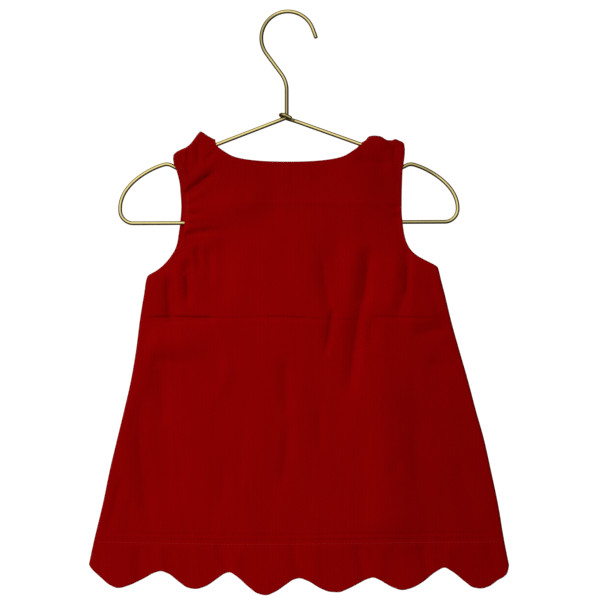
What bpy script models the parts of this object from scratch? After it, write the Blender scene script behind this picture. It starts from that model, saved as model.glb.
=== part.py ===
"""A small child's sleeveless corduroy dress, hanging on a bent wire hanger.

The dress is two panels that meet at the side seams. The back faces -Y, the front faces +Y.
The back's two shoulder straps fold over the top and button onto the front's straps.
The hanger is one length of wire, from the tip of its hook to the turn round its own neck.

All sizes are in millimetres, and each mesh is scaled to metres as it is made. Heights are
drops below the inside top of the hook, which is where the hanger is held and the origin.
"""

import math
from typing import NamedTuple

import bmesh
import bpy

MM = 0.001

# Cloth
WALL = 1.5            # corduroy with its turned edges
SEAM_GAP = 0.3        # between pieces that are sewn together
SIDE_RADIUS = 3.0     # of the soft fold at each side seam
FLAT_EDGE = 3.75      # from the middle plane to the outside of an armhole's edge
SIDE_FLARE = 90.0     # degrees that a side seam's edge turns towards the other panel
ARMHOLE_FLARE = 20.0  # degrees that an armhole's edge turns towards the other panel
PARTING = 20.0        # height over which the panels part above an armpit
ARMPIT_LEFT = 231.0
ARMPIT_RIGHT = 223.0

# Front panel against the back panel
FRONT_BELLY = 0.9     # its belly as a share of the back's
FRONT_HEM_RISE = 1.5
FRONT_PEEK = 3.0      # how far its left armhole edge stands out beyond the back's
FRONT_PEEK_DROP = 196.0
FRONT_PEEK_SPREAD = 20.0
FRONT_TUCK = 1.2      # how far its right armhole edge stays behind the back's

# Necklines: half an ellipse that runs straight up into the straps
NECK_CENTRE = 0.2
NECK_HALF_WIDTH = 62.0
NECK_SIDE_DROP = 116.8
NECK_CORNER = 66.3    # from the centre to where the straps begin
NECK_CORNER_DROP = 113.4
NECK_CORNER_SLOPE = 0.053   # of the straight run, for each millimetre of the neck's depth
BACK_NECK_DEPTH = 13.6
FRONT_NECK_DEPTH = 48.0

# Shoulder straps, folded over to the front
FOLD_RISE = 4.0       # from the top of the upright cloth to the crown of the fold
TAB_LENGTH = 31.0
TAB_CORNER = 6.0      # how much the tab's end is rounded at its corners
TAB_TAPER = 0.08      # share of its width that the tab loses on its neck side by its end
TAB_INSET = 1.2       # how far inside the armhole's edge the tab's end lies

# Buttons
BUTTON_RADIUS = 6.0
BUTTON_THICK = 2.6
BUTTON_BACK_BEVEL = 0.8
BUTTON_FACE_BEVEL = 0.6
BUTTON_RIM = 1.3
BUTTON_DISH = 0.7
BUTTON_DISH_SLOPE = 0.5     # how much narrower the dish is at its bottom
BUTTON_ABOVE_END = 12.0     # from the tab's end up to the button's centre
BUTTON_SIDES = 24

# Creases
CREASE_REACH = 2.5      # half widths beside a crease's line beyond which it has no effect
CREASE_FADE = 0.7       # power that makes a crease fade faster at its ends than along it
CREASE_EDGE_RISE = 3.0  # how fast creases reach their full depth in from an edge

# The grid of each panel
EDGE_COLUMNS = 3
STRAP_COLUMNS = 8
NECK_COLUMNS = 24
LEFT_STRAP_SHARE = 0.175   # of the width across the straps
RIGHT_STRAP_SHARE = 0.18
HEM_ROW = 464.0            # lowest level row above the scallops
HEM_STEPS = (0.0, 0.45)    # shares of the way from the hem's edge to that row
YOKE_ROW = 172.0           # highest level row below the straps and neck
YOKE_STEPS = 7
FOLD_STEPS = 6
TAB_STEPS = 4
SHARP_ANGLE = 40.0         # degrees between faces from which an edge is shaded sharp

# Hanger wire
WIRE_RADIUS = 1.8
WIRE_GAP = 0.3
HOOK_RADIUS = 23.4
HOOK_START = 20.0     # degrees above level where the tip leaves the round of the hook
HOOK_END = 216.4      # degrees, where the round runs into the straight
TIP_RUN = 9.0
SHANK_X = -1.06
SHANK_BEND = 24.0
NECK_DROP = 91.6
NECK_BEND = 4.0
FRAME_CENTRE = 0.9
LEFT_ARM_SLOPE = 0.386
RIGHT_ARM_SLOPE = 0.357
RIGHT_NECK_DROP = 91.9
ARM_END = 82.7        # from the frame's centre, where the arm bends into the strap notch
ARM_BEND = 5.0
NOTCH_OUT = 92.8
NOTCH_DROP = 139.0
NOTCH_BEND = 4.0
HUMP_OUT = 106.5
HUMP_DROP = 132.1
HUMP_BEND = 9.0
END_OUT = 148.5
END_DROP = 171.4
END_PULL = ((121.4, 136.0), (148.5, 150.0))
FOOT_RADIUS = 11.5
LEFT_BAR_DROP = 184.6
RIGHT_BAR_DROP = 183.3
WRAP_OUT = 1.84       # how far left of the shank the turn round it is centred
WRAP_RUN = 13.0       # length over which the right arm slants back to pass behind the neck
WRAP_RISE = (-0.2, 1.7)   # of the wire above the arm's line, before and after the turn
WRAP_TAIL = 6.4       # from the turn to the wire's cut end
WRAP_TAIL_LIFT = 0.5  # how far the cut end leans towards the neck
WRAP_LEAD = 1.15      # how early the slant reaches its full depth

# Steps of the wire's route
HOOK_ARC_STEPS = 22
SHANK_STEPS = 5
BEND_STEPS = 4
NOTCH_STEPS = 6
END_STEPS = 10
FOOT_STEPS = 6
RUN_STEPS = 6
TURN_STEPS = 12
TAIL_STEPS = 4
WIRE_ROUNDNESS = 2    # Blender's bevel resolution


class Section(NamedTuple):
    """One level of the dress."""

    drop: float
    left: float    # left edge of the back panel
    right: float   # right edge of the back panel
    belly: float   # from the middle plane to the outside at the centre


class Crest(NamedTuple):
    """One lobe or cusp of the scalloped hem, or one end of it."""

    across: float
    drop: float


class Ridge(NamedTuple):
    """One point of a strap's folded top line."""

    across: float
    drop: float


class Crease(NamedTuple):
    """A soft trough in a panel, or a ridge where its depth is negative."""

    across: float
    drop: float
    to_across: float
    to_drop: float
    half_width: float
    depth: float


class Finish(NamedTuple):
    """Plain values of a material."""

    name: str
    colour: tuple
    roughness: float
    metallic: float


SECTIONS = (
    Section(490.0, -176.4, 195.6, 13.0),
    Section(464.0, -170.9, 190.6, 12.8),
    Section(432.0, -163.2, 185.2, 12.3),
    Section(402.0, -157.0, 178.9, 11.7),
    Section(375.0, -150.6, 172.9, 11.1),
    Section(349.0, -144.3, 165.6, 10.6),
    Section(322.0, -138.2, 158.5, 10.0),
    Section(296.0, -133.8, 151.0, 9.5),
    Section(270.0, -130.5, 143.8, 9.0),
    Section(247.0, -126.8, 138.3, 8.5),
    Section(231.0, -123.7, 134.2, 8.2),
    Section(227.0, -117.1, 133.3, 8.1),
    Section(223.0, -111.7, 132.0, 8.0),
    Section(218.5, -106.8, 124.6, 7.9),
    Section(213.0, -101.8, 114.4, 7.8),
    Section(207.0, -97.4, 107.9, 7.7),
    Section(199.0, -94.4, 103.9, 7.5),
    Section(187.0, -93.2, 101.6, 7.2),
    Section(172.0, -93.6, 100.4, 6.6),
    Section(160.0, -94.7, 100.5, 6.0),
    Section(150.0, -95.7, 100.8, 5.4),
    Section(140.0, -98.1, 101.2, 4.8),
    Section(132.0, -100.9, 102.4, 4.2),
    Section(125.0, -101.6, 103.2, 3.8),
    Section(115.0, -101.6, 103.4, 3.75),
)

HEM = (
    Crest(-175.5, 485.3),
    Crest(-148.2, 505.5),
    Crest(-111.2, 490.2),
    Crest(-80.9, 505.7),
    Crest(-51.4, 491.1),
    Crest(-19.7, 511.1),
    Crest(10.6, 496.1),
    Crest(43.2, 508.6),
    Crest(74.0, 495.7),
    Crest(99.5, 506.9),
    Crest(137.4, 487.3),
    Crest(169.9, 505.8),
    Crest(194.8, 486.0),
)

STRAP_TOPS = (
    Ridge(-101.6, 125.0),
    Ridge(-98.5, 121.9),
    Ridge(-91.4, 118.6),
    Ridge(-86.2, 114.8),
    Ridge(-80.9, 107.6),
    Ridge(-77.0, 103.8),
    Ridge(-73.8, 105.1),
    Ridge(-68.6, 108.4),
    Ridge(-65.5, 112.2),
    Ridge(66.4, 112.4),
    Ridge(70.5, 108.6),
    Ridge(74.5, 107.2),
    Ridge(81.0, 107.8),
    Ridge(88.1, 111.1),
    Ridge(93.4, 110.3),
    Ridge(98.6, 111.8),
    Ridge(101.6, 113.4),
    Ridge(103.4, 116.6),
)

BACK_CREASES = (
    Crease(-90.0, 157.0, -66.0, 139.0, 5.0, 1.3),
    Crease(-90.6, 206.0, -90.6, 252.0, 8.0, 1.5),
    Crease(-71.0, 202.0, -72.0, 236.0, 7.0, 1.3),
    Crease(72.0, 196.0, 59.0, 278.0, 8.0, 2.4),
    Crease(59.0, 270.0, 52.0, 345.0, 9.0, 2.0),
    Crease(38.0, 206.0, 30.0, 306.0, 8.0, 1.4),
    Crease(104.0, 206.0, 102.0, 262.0, 7.0, 1.3),
    Crease(85.0, 200.0, 80.0, 262.0, 9.0, -1.2),
    Crease(-4.0, 300.0, -6.0, 400.0, 10.0, 1.8),
    Crease(-116.0, 285.0, -133.0, 455.0, 11.0, 2.6),
    Crease(-88.0, 330.0, -96.0, 470.0, 14.0, -1.5),
    Crease(60.0, 370.0, 66.0, 480.0, 14.0, -1.8),
    Crease(110.0, 300.0, 146.0, 470.0, 13.0, 2.4),
)

FRONT_CREASES = (
    Crease(84.0, 168.0, 68.0, 196.0, 7.0, 1.3),
    Crease(-78.0, 196.0, -62.0, 300.0, 8.0, 2.2),
    Crease(-34.0, 220.0, -30.0, 330.0, 9.0, 1.4),
    Crease(90.0, 205.0, 92.0, 260.0, 8.0, 1.4),
    Crease(8.0, 290.0, 14.0, 410.0, 10.0, 1.8),
    Crease(108.0, 290.0, 138.0, 460.0, 12.0, 2.4),
    Crease(-104.0, 300.0, -126.0, 465.0, 13.0, 2.4),
    Crease(70.0, 350.0, 78.0, 480.0, 14.0, -1.6),
)

CORDUROY = Finish("red_corduroy", (0.22, 0.001, 0.002, 1.0), 0.9, 0.0)
BRASS_WIRE = Finish("brass_wire", (0.62, 0.49, 0.22, 1.0), 0.32, 1.0)
RED_BUTTON = Finish("red_button", (0.20, 0.002, 0.004, 1.0), 0.45, 0.0)


def lerp(a, b, t):
    """Return the value a share t of the way from a to b."""
    return a + (b - a) * t


def smooth(t):
    """Return an eased share, level at both ends."""
    t = min(1.0, max(0.0, t))
    return t * t * (3.0 - 2.0 * t)


def read_table(table, at, value, place):
    """Read a named column of a table at a place, by straight lines between its rows."""
    rows = sorted(table, key=lambda row: getattr(row, at))
    if place <= getattr(rows[0], at):
        return getattr(rows[0], value)
    for low, high in zip(rows, rows[1:]):
        start, end = getattr(low, at), getattr(high, at)
        if place <= end:
            share = (place - start) / (end - start)
            return lerp(getattr(low, value), getattr(high, value), share)
    return getattr(rows[-1], value)


def hem_drop(across):
    """Return the drop of the scalloped hem: waves between crests, a quarter wave at its ends."""
    last = len(HEM) - 2
    for index, (here, there) in enumerate(zip(HEM, HEM[1:])):
        if across <= there.across or index == last:
            break
    share = min(1.0, max(0.0, (across - here.across) / (there.across - here.across)))
    if index == 0:
        share = math.sin(share * math.pi / 2)
    elif index == last:
        share = 1.0 - math.cos(share * math.pi / 2)
    else:
        share = 0.5 - 0.5 * math.cos(share * math.pi)
    return lerp(here.drop, there.drop, share)


def neck_drop(across, depth):
    """Return the drop of a neckline: its ellipse, or the straight run where that is higher."""
    reach = abs(across - NECK_CENTRE)
    off_centre = min(1.0, reach / NECK_HALF_WIDTH)
    scoop = NECK_SIDE_DROP + depth * math.sqrt(1.0 - off_centre ** 2)
    run = max(0.0, NECK_CORNER - reach) * depth * NECK_CORNER_SLOPE
    return min(scoop, NECK_CORNER_DROP + run)


def crease_depth(creases, across, drop):
    """Return how far a panel's creases push a point towards the middle plane."""
    total = 0.0
    for crease in creases:
        run = (crease.to_across - crease.across, crease.to_drop - crease.drop)
        length = math.hypot(*run)
        offset = (across - crease.across, drop - crease.drop)
        along = (offset[0] * run[0] + offset[1] * run[1]) / length
        beside = abs(offset[0] * run[1] - offset[1] * run[0]) / length
        if not 0.0 < along < length or beside > CREASE_REACH * crease.half_width:
            continue
        fade = math.sin(math.pi * along / length) ** CREASE_FADE
        total += crease.depth * fade * math.exp(-((beside / crease.half_width) ** 2))
    return total


class Panel:
    """One panel of the dress as a grid of points on its outer face."""

    def __init__(self, name, toward, neck_depth, creases, buttoned_to=None):
        self.name = name
        self.toward = toward
        self.neck_depth = neck_depth
        self.creases = creases
        self.buttoned_to = buttoned_to
        self.is_front = toward > 0
        self.points = {}
        self.inward = {}
        self.cells = []

    def columns(self):
        """Return each column as its place between the rounded edges and its turn onto one."""
        turns = [(EDGE_COLUMNS - step) / EDGE_COLUMNS for step in range(EDGE_COLUMNS)]
        left = [step / STRAP_COLUMNS * LEFT_STRAP_SHARE for step in range(STRAP_COLUMNS)]
        neck_end = 1.0 - RIGHT_STRAP_SHARE
        neck = [lerp(LEFT_STRAP_SHARE, neck_end, step / NECK_COLUMNS)
                for step in range(NECK_COLUMNS)]
        right = [lerp(neck_end, 1.0, step / STRAP_COLUMNS) for step in range(STRAP_COLUMNS + 1)]
        return ([(0.0, -turn) for turn in turns]
                + [(place, 0.0) for place in left + neck + right]
                + [(1.0, turn) for turn in reversed(turns)])

    def edge(self, side, drop):
        """Return the place of the left (-1) or right (+1) edge at a drop."""
        place = read_table(SECTIONS, "drop", "left" if side < 0 else "right", drop)
        if not self.is_front:
            return place
        if side < 0:
            reach = (drop - FRONT_PEEK_DROP) / FRONT_PEEK_SPREAD
            return place - FRONT_PEEK * math.exp(-reach ** 2)
        return place - FRONT_TUCK * self.parting(side, drop)

    def parting(self, side, drop):
        """Return how far the panels have parted at an edge: 0 on a side seam, 1 by an armhole."""
        armpit = ARMPIT_LEFT if side < 0 else ARMPIT_RIGHT
        return smooth((armpit - drop) / PARTING)

    def flare(self, side, drop):
        """Return the angle, in radians, that an edge turns towards the other panel."""
        return math.radians(lerp(SIDE_FLARE, ARMHOLE_FLARE, self.parting(side, drop)))

    def edge_face(self, side, drop):
        """Return how far the cloth stands from the middle plane just inside an edge."""
        return lerp(SIDE_RADIUS + SEAM_GAP / 2, FLAT_EDGE, self.parting(side, drop))

    def out_at(self, across, drop, drops):
        """Return how far the outer face stands from the middle plane between its two edges."""
        left = self.edge(-1, drops[0]) + SIDE_RADIUS * math.sin(self.flare(-1, drops[0]))
        right = self.edge(1, drops[1]) - SIDE_RADIUS * math.sin(self.flare(1, drops[1]))
        place = min(1.0, max(0.0, (across - left) / (right - left)))
        face = lerp(self.edge_face(-1, drops[0]), self.edge_face(1, drops[1]), place)
        lens = 1.0 - (2.0 * place - 1.0) ** 2
        belly = read_table(SECTIONS, "drop", "belly", drop)
        if self.is_front:
            belly = max(FLAT_EDGE, belly * FRONT_BELLY)
        crease = crease_depth(self.creases, across, drop)
        return lerp(face, belly, lens) - crease * smooth(lens * CREASE_EDGE_RISE)

    def plan(self, column, drops, drop):
        """Return a point of the outer face, and its inward push where it is fixed.

        The edges are read at the row's own two drops, and the belly at the point's drop.
        """
        place, turn = column
        left, right = self.edge(-1, drops[0]), self.edge(1, drops[1])
        flares = self.flare(-1, drops[0]), self.flare(1, drops[1])
        faces = self.edge_face(-1, drops[0]), self.edge_face(1, drops[1])
        if turn:
            side = 0 if turn < 0 else 1
            angle = flares[side] * abs(turn)
            inset = SIDE_RADIUS * (math.sin(flares[side]) - math.sin(angle))
            across = left + inset if side == 0 else right - inset
            out = faces[side] - SIDE_RADIUS * (1.0 - math.cos(angle))
            push = None
            if abs(turn) == 1.0:
                sideways = -math.sin(angle) if side == 0 else math.sin(angle)
                push = (sideways, self.toward * math.cos(angle), 0.0)
            return (across, self.toward * out, -drop), push
        inner_left = left + SIDE_RADIUS * math.sin(flares[0])
        inner_right = right - SIDE_RADIUS * math.sin(flares[1])
        across = lerp(inner_left, inner_right, place)
        return (across, self.toward * self.out_at(across, drop, drops), -drop), None

    def tab_face(self, across, drop):
        """Return how far the outside of a tab stands out where it lies on the other panel."""
        return self.buttoned_to.out_at(across, drop, (drop, drop)) + SEAM_GAP + WALL

    def top_drop(self, column_index, across):
        """Return the drop where a column's upright cloth ends, below a fold or at the neck."""
        if self.in_neck(column_index):
            return neck_drop(across, self.neck_depth)
        clearance = 2 * SEAM_GAP if self.is_front else 0.0
        return read_table(STRAP_TOPS, "across", "drop", across) + FOLD_RISE + clearance

    def in_neck(self, column_index):
        """Tell whether a column ends at the neckline."""
        first = EDGE_COLUMNS + STRAP_COLUMNS
        return first < column_index < first + NECK_COLUMNS

    def fill_rows(self):
        """Work out every row from the hem to the neckline and the strap tops."""
        columns = self.columns()
        hem_rise = FRONT_HEM_RISE if self.is_front else 0.0
        ends = HEM[0].drop - hem_rise, HEM[-1].drop - hem_rise
        row = 0
        for step in HEM_STEPS:
            drops = [lerp(end, HEM_ROW, step) for end in ends]
            for index, column in enumerate(columns):
                across = self.plan(column, ends, HEM_ROW)[0][0]
                drop = lerp(hem_drop(across) - hem_rise, HEM_ROW, step)
                self.points[index, row], self.inward[index, row] = self.plan(column, drops, drop)
            row += 1
        for section in SECTIONS:
            if YOKE_ROW <= section.drop <= HEM_ROW:
                drops = section.drop, section.drop
                for index, column in enumerate(columns):
                    made = self.plan(column, drops, section.drop)
                    self.points[index, row], self.inward[index, row] = made
                row += 1
        self.fill_yoke(columns, row)
        row += YOKE_STEPS
        if not self.is_front:
            self.fill_straps(len(columns), row - 1)

    def fill_yoke(self, columns, row):
        """Work out the rows that bend from level to the neckline and the strap tops."""
        outer = [read_table(STRAP_TOPS, "across", "drop", edge) + FOLD_RISE
                 for edge in (STRAP_TOPS[0].across, STRAP_TOPS[-1].across)]
        tops = []
        for index, column in enumerate(columns):
            across = self.plan(column, outer, outer[0])[0][0]
            tops.append(self.top_drop(index, across))
        for step in range(1, YOKE_STEPS + 1):
            share = step / YOKE_STEPS
            drops = [lerp(YOKE_ROW, drop, share) for drop in outer]
            for index, column in enumerate(columns):
                drop = lerp(YOKE_ROW, tops[index], share)
                made = self.plan(column, drops, drop)
                self.points[index, row + step - 1], self.inward[index, row + step - 1] = made

    def strap_columns(self, count):
        """Return the column ranges of the left and right straps, ends included."""
        wide = EDGE_COLUMNS + STRAP_COLUMNS
        return (0, wide), (count - 1 - wide, count - 1)

    def fill_straps(self, count, top_row):
        """Carry the straps over the shoulder and down the far side as buttoned tabs."""
        for first, last in self.strap_columns(count):
            middle = (self.points[first, top_row][0] + self.points[last, top_row][0]) / 2
            half = (self.points[last, top_row][0] - self.points[first, top_row][0]) / 2
            end = tab_end_drop(first == 0)
            for index in range(first, last + 1):
                across, out, height = self.points[index, top_row]
                face = self.tab_face(across, -height)
                reach = (face - out) / 2
                centre = (face + out) / 2
                for step in range(1, FOLD_STEPS + 1):
                    angle = math.pi * step / FOLD_STEPS
                    point = (across, centre - reach * math.cos(angle),
                             height + FOLD_RISE * math.sin(angle))
                    self.points[index, top_row + step] = point
                corner = TAB_CORNER * ((across - middle) / half) ** 4
                for step in range(1, TAB_STEPS + 1):
                    share = step / TAB_STEPS
                    drop = lerp(-height, end - corner, share)
                    narrow = self.tab_across(across, middle, half, drop, share)
                    point = (narrow, self.tab_face(narrow, drop), -drop)
                    self.points[index, top_row + FOLD_STEPS + step] = point

    def tab_across(self, across, middle, half, drop, share):
        """Return where a tab's point lies across: in from the armhole, and slightly tapered."""
        side = -1 if middle < 0.0 else 1
        outer = side * (middle + side * half)
        inner = side * (middle - side * half)
        from_inner = (side * across - inner) / (outer - inner)
        limit = side * self.buttoned_to.edge(side, drop) - TAB_INSET * share
        new_outer = min(outer, limit)
        new_inner = lerp(inner, outer, TAB_TAPER * share)
        return side * lerp(new_inner, new_outer, from_inner)

    def fill_cells(self):
        """List the grid's cells: all up to the neckline, and the straps' own above it."""
        rows = 1 + max(row for _, row in self.points)
        count = 1 + max(index for index, _ in self.points)
        for row in range(rows - 1):
            for index in range(count - 1):
                corners = [(index, row), (index + 1, row), (index + 1, row + 1), (index, row + 1)]
                if all(corner in self.points for corner in corners):
                    self.cells.append(corners)

    def build(self, finish):
        """Make the panel's solid: outer face, inner face and the edges between them."""
        self.fill_rows()
        self.fill_cells()
        mesh = bmesh.new()
        outer = {key: mesh.verts.new(point) for key, point in self.points.items()}
        for corners in self.cells:
            loop = [outer[corner] for corner in corners]
            mesh.faces.new(reversed(loop) if self.is_front else loop)
        mesh.normal_update()
        faces = list(mesh.faces)
        borders = [edge for edge in mesh.edges if len(edge.link_faces) == 1]
        inner = {}
        for key, vertex in outer.items():
            push = self.inward.get(key) or vertex.normal
            inner[vertex] = mesh.verts.new([c - WALL * n for c, n in zip(vertex.co, push)])
        for face in faces:
            mesh.faces.new([inner[vertex] for vertex in reversed(face.verts)])
        for edge in borders:
            start, end = edge.link_loops[0].vert, edge.link_loops[0].link_loop_next.vert
            mesh.faces.new([end, start, inner[start], inner[end]])
        return add_mesh(self.name, mesh, finish)


def strap_ridges(is_left):
    """Return the points of one strap's top line, from left to right."""
    return [ridge for ridge in STRAP_TOPS if (ridge.across < 0.0) == is_left]


def tab_end_drop(is_left):
    """Return the drop of a tab's straight end."""
    ridges = strap_ridges(is_left)
    return (ridges[0].drop + ridges[-1].drop) / 2 + FOLD_RISE + TAB_LENGTH


def add_material(finish):
    """Return the material of a finish, made once."""
    material = bpy.data.materials.get(finish.name)
    if material is None:
        material = bpy.data.materials.new(finish.name)
        material.use_nodes = True
        shader = material.node_tree.nodes["Principled BSDF"]
        shader.inputs["Base Color"].default_value = finish.colour
        shader.inputs["Roughness"].default_value = finish.roughness
        shader.inputs["Metallic"].default_value = finish.metallic
    return material


def add_mesh(name, mesh, finish):
    """Turn a bmesh in millimetres into a named, smooth object in metres."""
    bmesh.ops.recalc_face_normals(mesh, faces=mesh.faces)
    bmesh.ops.scale(mesh, vec=(MM, MM, MM), verts=mesh.verts)
    data = bpy.data.meshes.new(name)
    mesh.to_mesh(data)
    mesh.free()
    data.shade_smooth()
    data.set_sharp_from_angle(angle=math.radians(SHARP_ANGLE))
    data.materials.append(add_material(finish))
    made = bpy.data.objects.new(name, data)
    bpy.context.scene.collection.objects.link(made)
    return made


def build_button(name, across, drop, back, finish):
    """Make one turned button, rimmed and dished, facing +Y with its back at the given place."""
    dish_radius = BUTTON_RADIUS - BUTTON_RIM
    profile = (
        (BUTTON_RADIUS - BUTTON_BACK_BEVEL, 0.0),
        (BUTTON_RADIUS, BUTTON_BACK_BEVEL),
        (BUTTON_RADIUS, BUTTON_THICK - BUTTON_FACE_BEVEL),
        (BUTTON_RADIUS - BUTTON_FACE_BEVEL, BUTTON_THICK),
        (dish_radius, BUTTON_THICK),
        (dish_radius - BUTTON_DISH_SLOPE, BUTTON_THICK - BUTTON_DISH),
    )
    mesh = bmesh.new()
    rings = []
    for radius, out in profile:
        ring = []
        for side in range(BUTTON_SIDES):
            angle = 2 * math.pi * side / BUTTON_SIDES
            ring.append(mesh.verts.new((across + radius * math.cos(angle), back + out,
                                        -drop + radius * math.sin(angle))))
        rings.append(ring)
    for low, high in zip(rings, rings[1:]):
        for side in range(BUTTON_SIDES):
            after = (side + 1) % BUTTON_SIDES
            mesh.faces.new((low[side], low[after], high[after], high[side]))
    mesh.faces.new(reversed(rings[0]))
    mesh.faces.new(rings[-1])
    return add_mesh(name, mesh, finish)


def arc(centre, radius, start, end, steps):
    """Return points on an arc in the hanger's plane, angles in degrees."""
    points = []
    for step in range(steps + 1):
        angle = math.radians(lerp(start, end, step / steps))
        points.append((centre[0] + radius * math.cos(angle), 0.0,
                       centre[1] + radius * math.sin(angle)))
    return points


def rounded(before, corner, after, radius, steps):
    """Return the points of a bend of the given radius at a corner, in the hanger's plane."""
    into = direction(corner, before)
    out_of = direction(corner, after)
    turn = math.acos(max(-1.0, min(1.0, into[0] * out_of[0] + into[1] * out_of[1])))
    setback = radius / math.tan(turn / 2)
    half = direction((0.0, 0.0), (into[0] + out_of[0], into[1] + out_of[1]))
    centre_reach = radius / math.sin(turn / 2)
    centre = (corner[0] + half[0] * centre_reach, corner[1] + half[1] * centre_reach)
    start = (corner[0] + into[0] * setback, corner[1] + into[1] * setback)
    end = (corner[0] + out_of[0] * setback, corner[1] + out_of[1] * setback)
    first = math.atan2(start[1] - centre[1], start[0] - centre[0])
    last = math.atan2(end[1] - centre[1], end[0] - centre[0])
    swing = (last - first + math.pi) % (2 * math.pi) - math.pi
    return arc(centre, radius, math.degrees(first), math.degrees(first + swing), steps)


def cubic(start, pull_out, pull_in, end, steps):
    """Return the points of a cubic curve in the hanger's plane, both ends included."""
    points = []
    for step in range(steps + 1):
        share = step / steps
        rest = 1.0 - share
        weights = (rest ** 3, 3 * rest ** 2 * share, 3 * rest * share ** 2, share ** 3)
        knots = tuple(zip(weights, (start, pull_out, pull_in, end)))
        across = sum(weight * knot[0] for weight, knot in knots)
        height = sum(weight * knot[1] for weight, knot in knots)
        points.append((across, 0.0, height))
    return points


def direction(start, end):
    """Return the unit vector from one plane point to another."""
    run = (end[0] - start[0], end[1] - start[1])
    length = math.hypot(*run)
    return run[0] / length, run[1] / length


def frame_half(side, slope, neck_drop_here, bar_drop):
    """Return one side of the hanger, from the arm's outer end to the bottom bar."""
    def at(out, drop):
        """Return the plane point at a reach from the frame's centre and a drop."""
        return FRAME_CENTRE + side * out, -drop

    arm_drop = neck_drop_here + slope * (ARM_END + side * (FRAME_CENTRE - SHANK_X))
    neck = (SHANK_X, -neck_drop_here)
    arm_end = at(ARM_END, arm_drop)
    notch = at(NOTCH_OUT, NOTCH_DROP)
    hump = at(HUMP_OUT, HUMP_DROP)
    pull = [at(*END_PULL[0]), at(*END_PULL[1])]
    points = rounded(neck, arm_end, notch, ARM_BEND, BEND_STEPS)
    points += rounded(arm_end, notch, hump, NOTCH_BEND, NOTCH_STEPS)
    points += rounded(notch, hump, pull[0], HUMP_BEND, BEND_STEPS)
    start = (points[-1][0], points[-1][2])
    points += cubic(start, *pull, at(END_OUT, END_DROP), END_STEPS)[1:]
    foot = at(END_OUT - FOOT_RADIUS, bar_drop - FOOT_RADIUS)
    start_angle = 0.0 if side > 0 else 180.0
    swing = -90.0 if side > 0 else 90.0
    return points + arc(foot, FOOT_RADIUS, start_angle, start_angle + swing, FOOT_STEPS)


def neck_turn():
    """Return the wire's end: it passes behind the neck, turns round it and ends in front."""
    lean = math.atan(RIGHT_ARM_SLOPE)
    reach = 2 * WIRE_RADIUS + WIRE_GAP
    across = SHANK_X - WRAP_OUT
    drop = RIGHT_NECK_DROP - RIGHT_ARM_SLOPE * WRAP_OUT

    def at(along, out, rise):
        """Return the point a length along the arm's line, out of its plane and above it."""
        return (across + along * math.cos(lean) + rise * math.sin(lean), out,
                rise * math.cos(lean) - along * math.sin(lean) - drop)

    low, high = WRAP_RISE
    points = []
    for step in range(RUN_STEPS):
        share = step / RUN_STEPS
        out = reach * smooth(share * WRAP_LEAD)
        points.append(at(WRAP_RUN * (1.0 - share), out, low * share))
    for step in range(TURN_STEPS + 1):
        share = step / TURN_STEPS
        angle = math.pi * share
        points.append(at(-reach * math.sin(angle), reach * math.cos(angle),
                         lerp(low, high, share)))
    for step in range(1, TAIL_STEPS + 1):
        share = step / TAIL_STEPS
        points.append(at(WRAP_TAIL * share, WRAP_TAIL_LIFT * share - reach,
                         lerp(high, high / 2, share)))
    return points


def wire_route():
    """Return the centreline of the whole hanger, from the hook's tip to the neck's turn."""
    centre = (0.0, -(HOOK_RADIUS - WIRE_RADIUS))
    hook = arc(centre, HOOK_RADIUS, HOOK_START, HOOK_END, HOOK_ARC_STEPS)
    lean = math.radians(HOOK_START)
    tip = (hook[0][0] + TIP_RUN * math.sin(lean), 0.0, hook[0][2] - TIP_RUN * math.cos(lean))
    leaving = math.radians(HOOK_END)
    heading = (-math.sin(leaving), math.cos(leaving))
    to_shank = (SHANK_X - hook[-1][0]) / heading[0]
    elbow = (SHANK_X, hook[-1][2] + to_shank * heading[1])
    neck = (SHANK_X, -NECK_DROP)
    far_left = (SHANK_X - ARM_END, -NECK_DROP - LEFT_ARM_SLOPE * ARM_END)
    left = frame_half(-1, LEFT_ARM_SLOPE, NECK_DROP, LEFT_BAR_DROP)
    right = frame_half(1, RIGHT_ARM_SLOPE, RIGHT_NECK_DROP, RIGHT_BAR_DROP)
    return ([tip] + hook
            + rounded((hook[-1][0], hook[-1][2]), elbow, neck, SHANK_BEND, SHANK_STEPS)
            + rounded(elbow, neck, far_left, NECK_BEND, BEND_STEPS)
            + left + list(reversed(right)) + neck_turn())


def build_hanger(name, finish):
    """Make the hanger as one round wire along its route."""
    route = wire_route()
    data = bpy.data.curves.new(name, "CURVE")
    data.dimensions = "3D"
    data.bevel_depth = WIRE_RADIUS * MM
    data.bevel_resolution = WIRE_ROUNDNESS
    data.use_fill_caps = True
    spline = data.splines.new("POLY")
    spline.points.add(len(route) - 1)
    for knot, point in zip(spline.points, route):
        knot.co = [length * MM for length in point] + [1.0]
    data.materials.append(add_material(finish))
    made = bpy.data.objects.new(name, data)
    bpy.context.scene.collection.objects.link(made)
    return made


def clear_scene():
    """Remove whatever objects the scene holds."""
    for leftover in list(bpy.data.objects):
        bpy.data.objects.remove(leftover, do_unlink=True)


def main():
    """Build the two panels, the buttons and the hanger."""
    clear_scene()
    front = Panel("front_panel", 1, FRONT_NECK_DEPTH, FRONT_CREASES)
    front.build(CORDUROY)
    back = Panel("back_panel", -1, BACK_NECK_DEPTH, BACK_CREASES, front)
    back.build(CORDUROY)
    for name, is_left in (("button_left", True), ("button_right", False)):
        ridges = strap_ridges(is_left)
        middle = (ridges[0].across + ridges[-1].across) / 2
        drop = tab_end_drop(is_left) - BUTTON_ABOVE_END
        highest = max(back.tab_face(middle + side * BUTTON_RADIUS, drop) for side in (-1, 0, 1))
        build_button(name, middle, drop, highest + SEAM_GAP, RED_BUTTON)
    build_hanger("hanger", BRASS_WIRE)


main()
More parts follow.
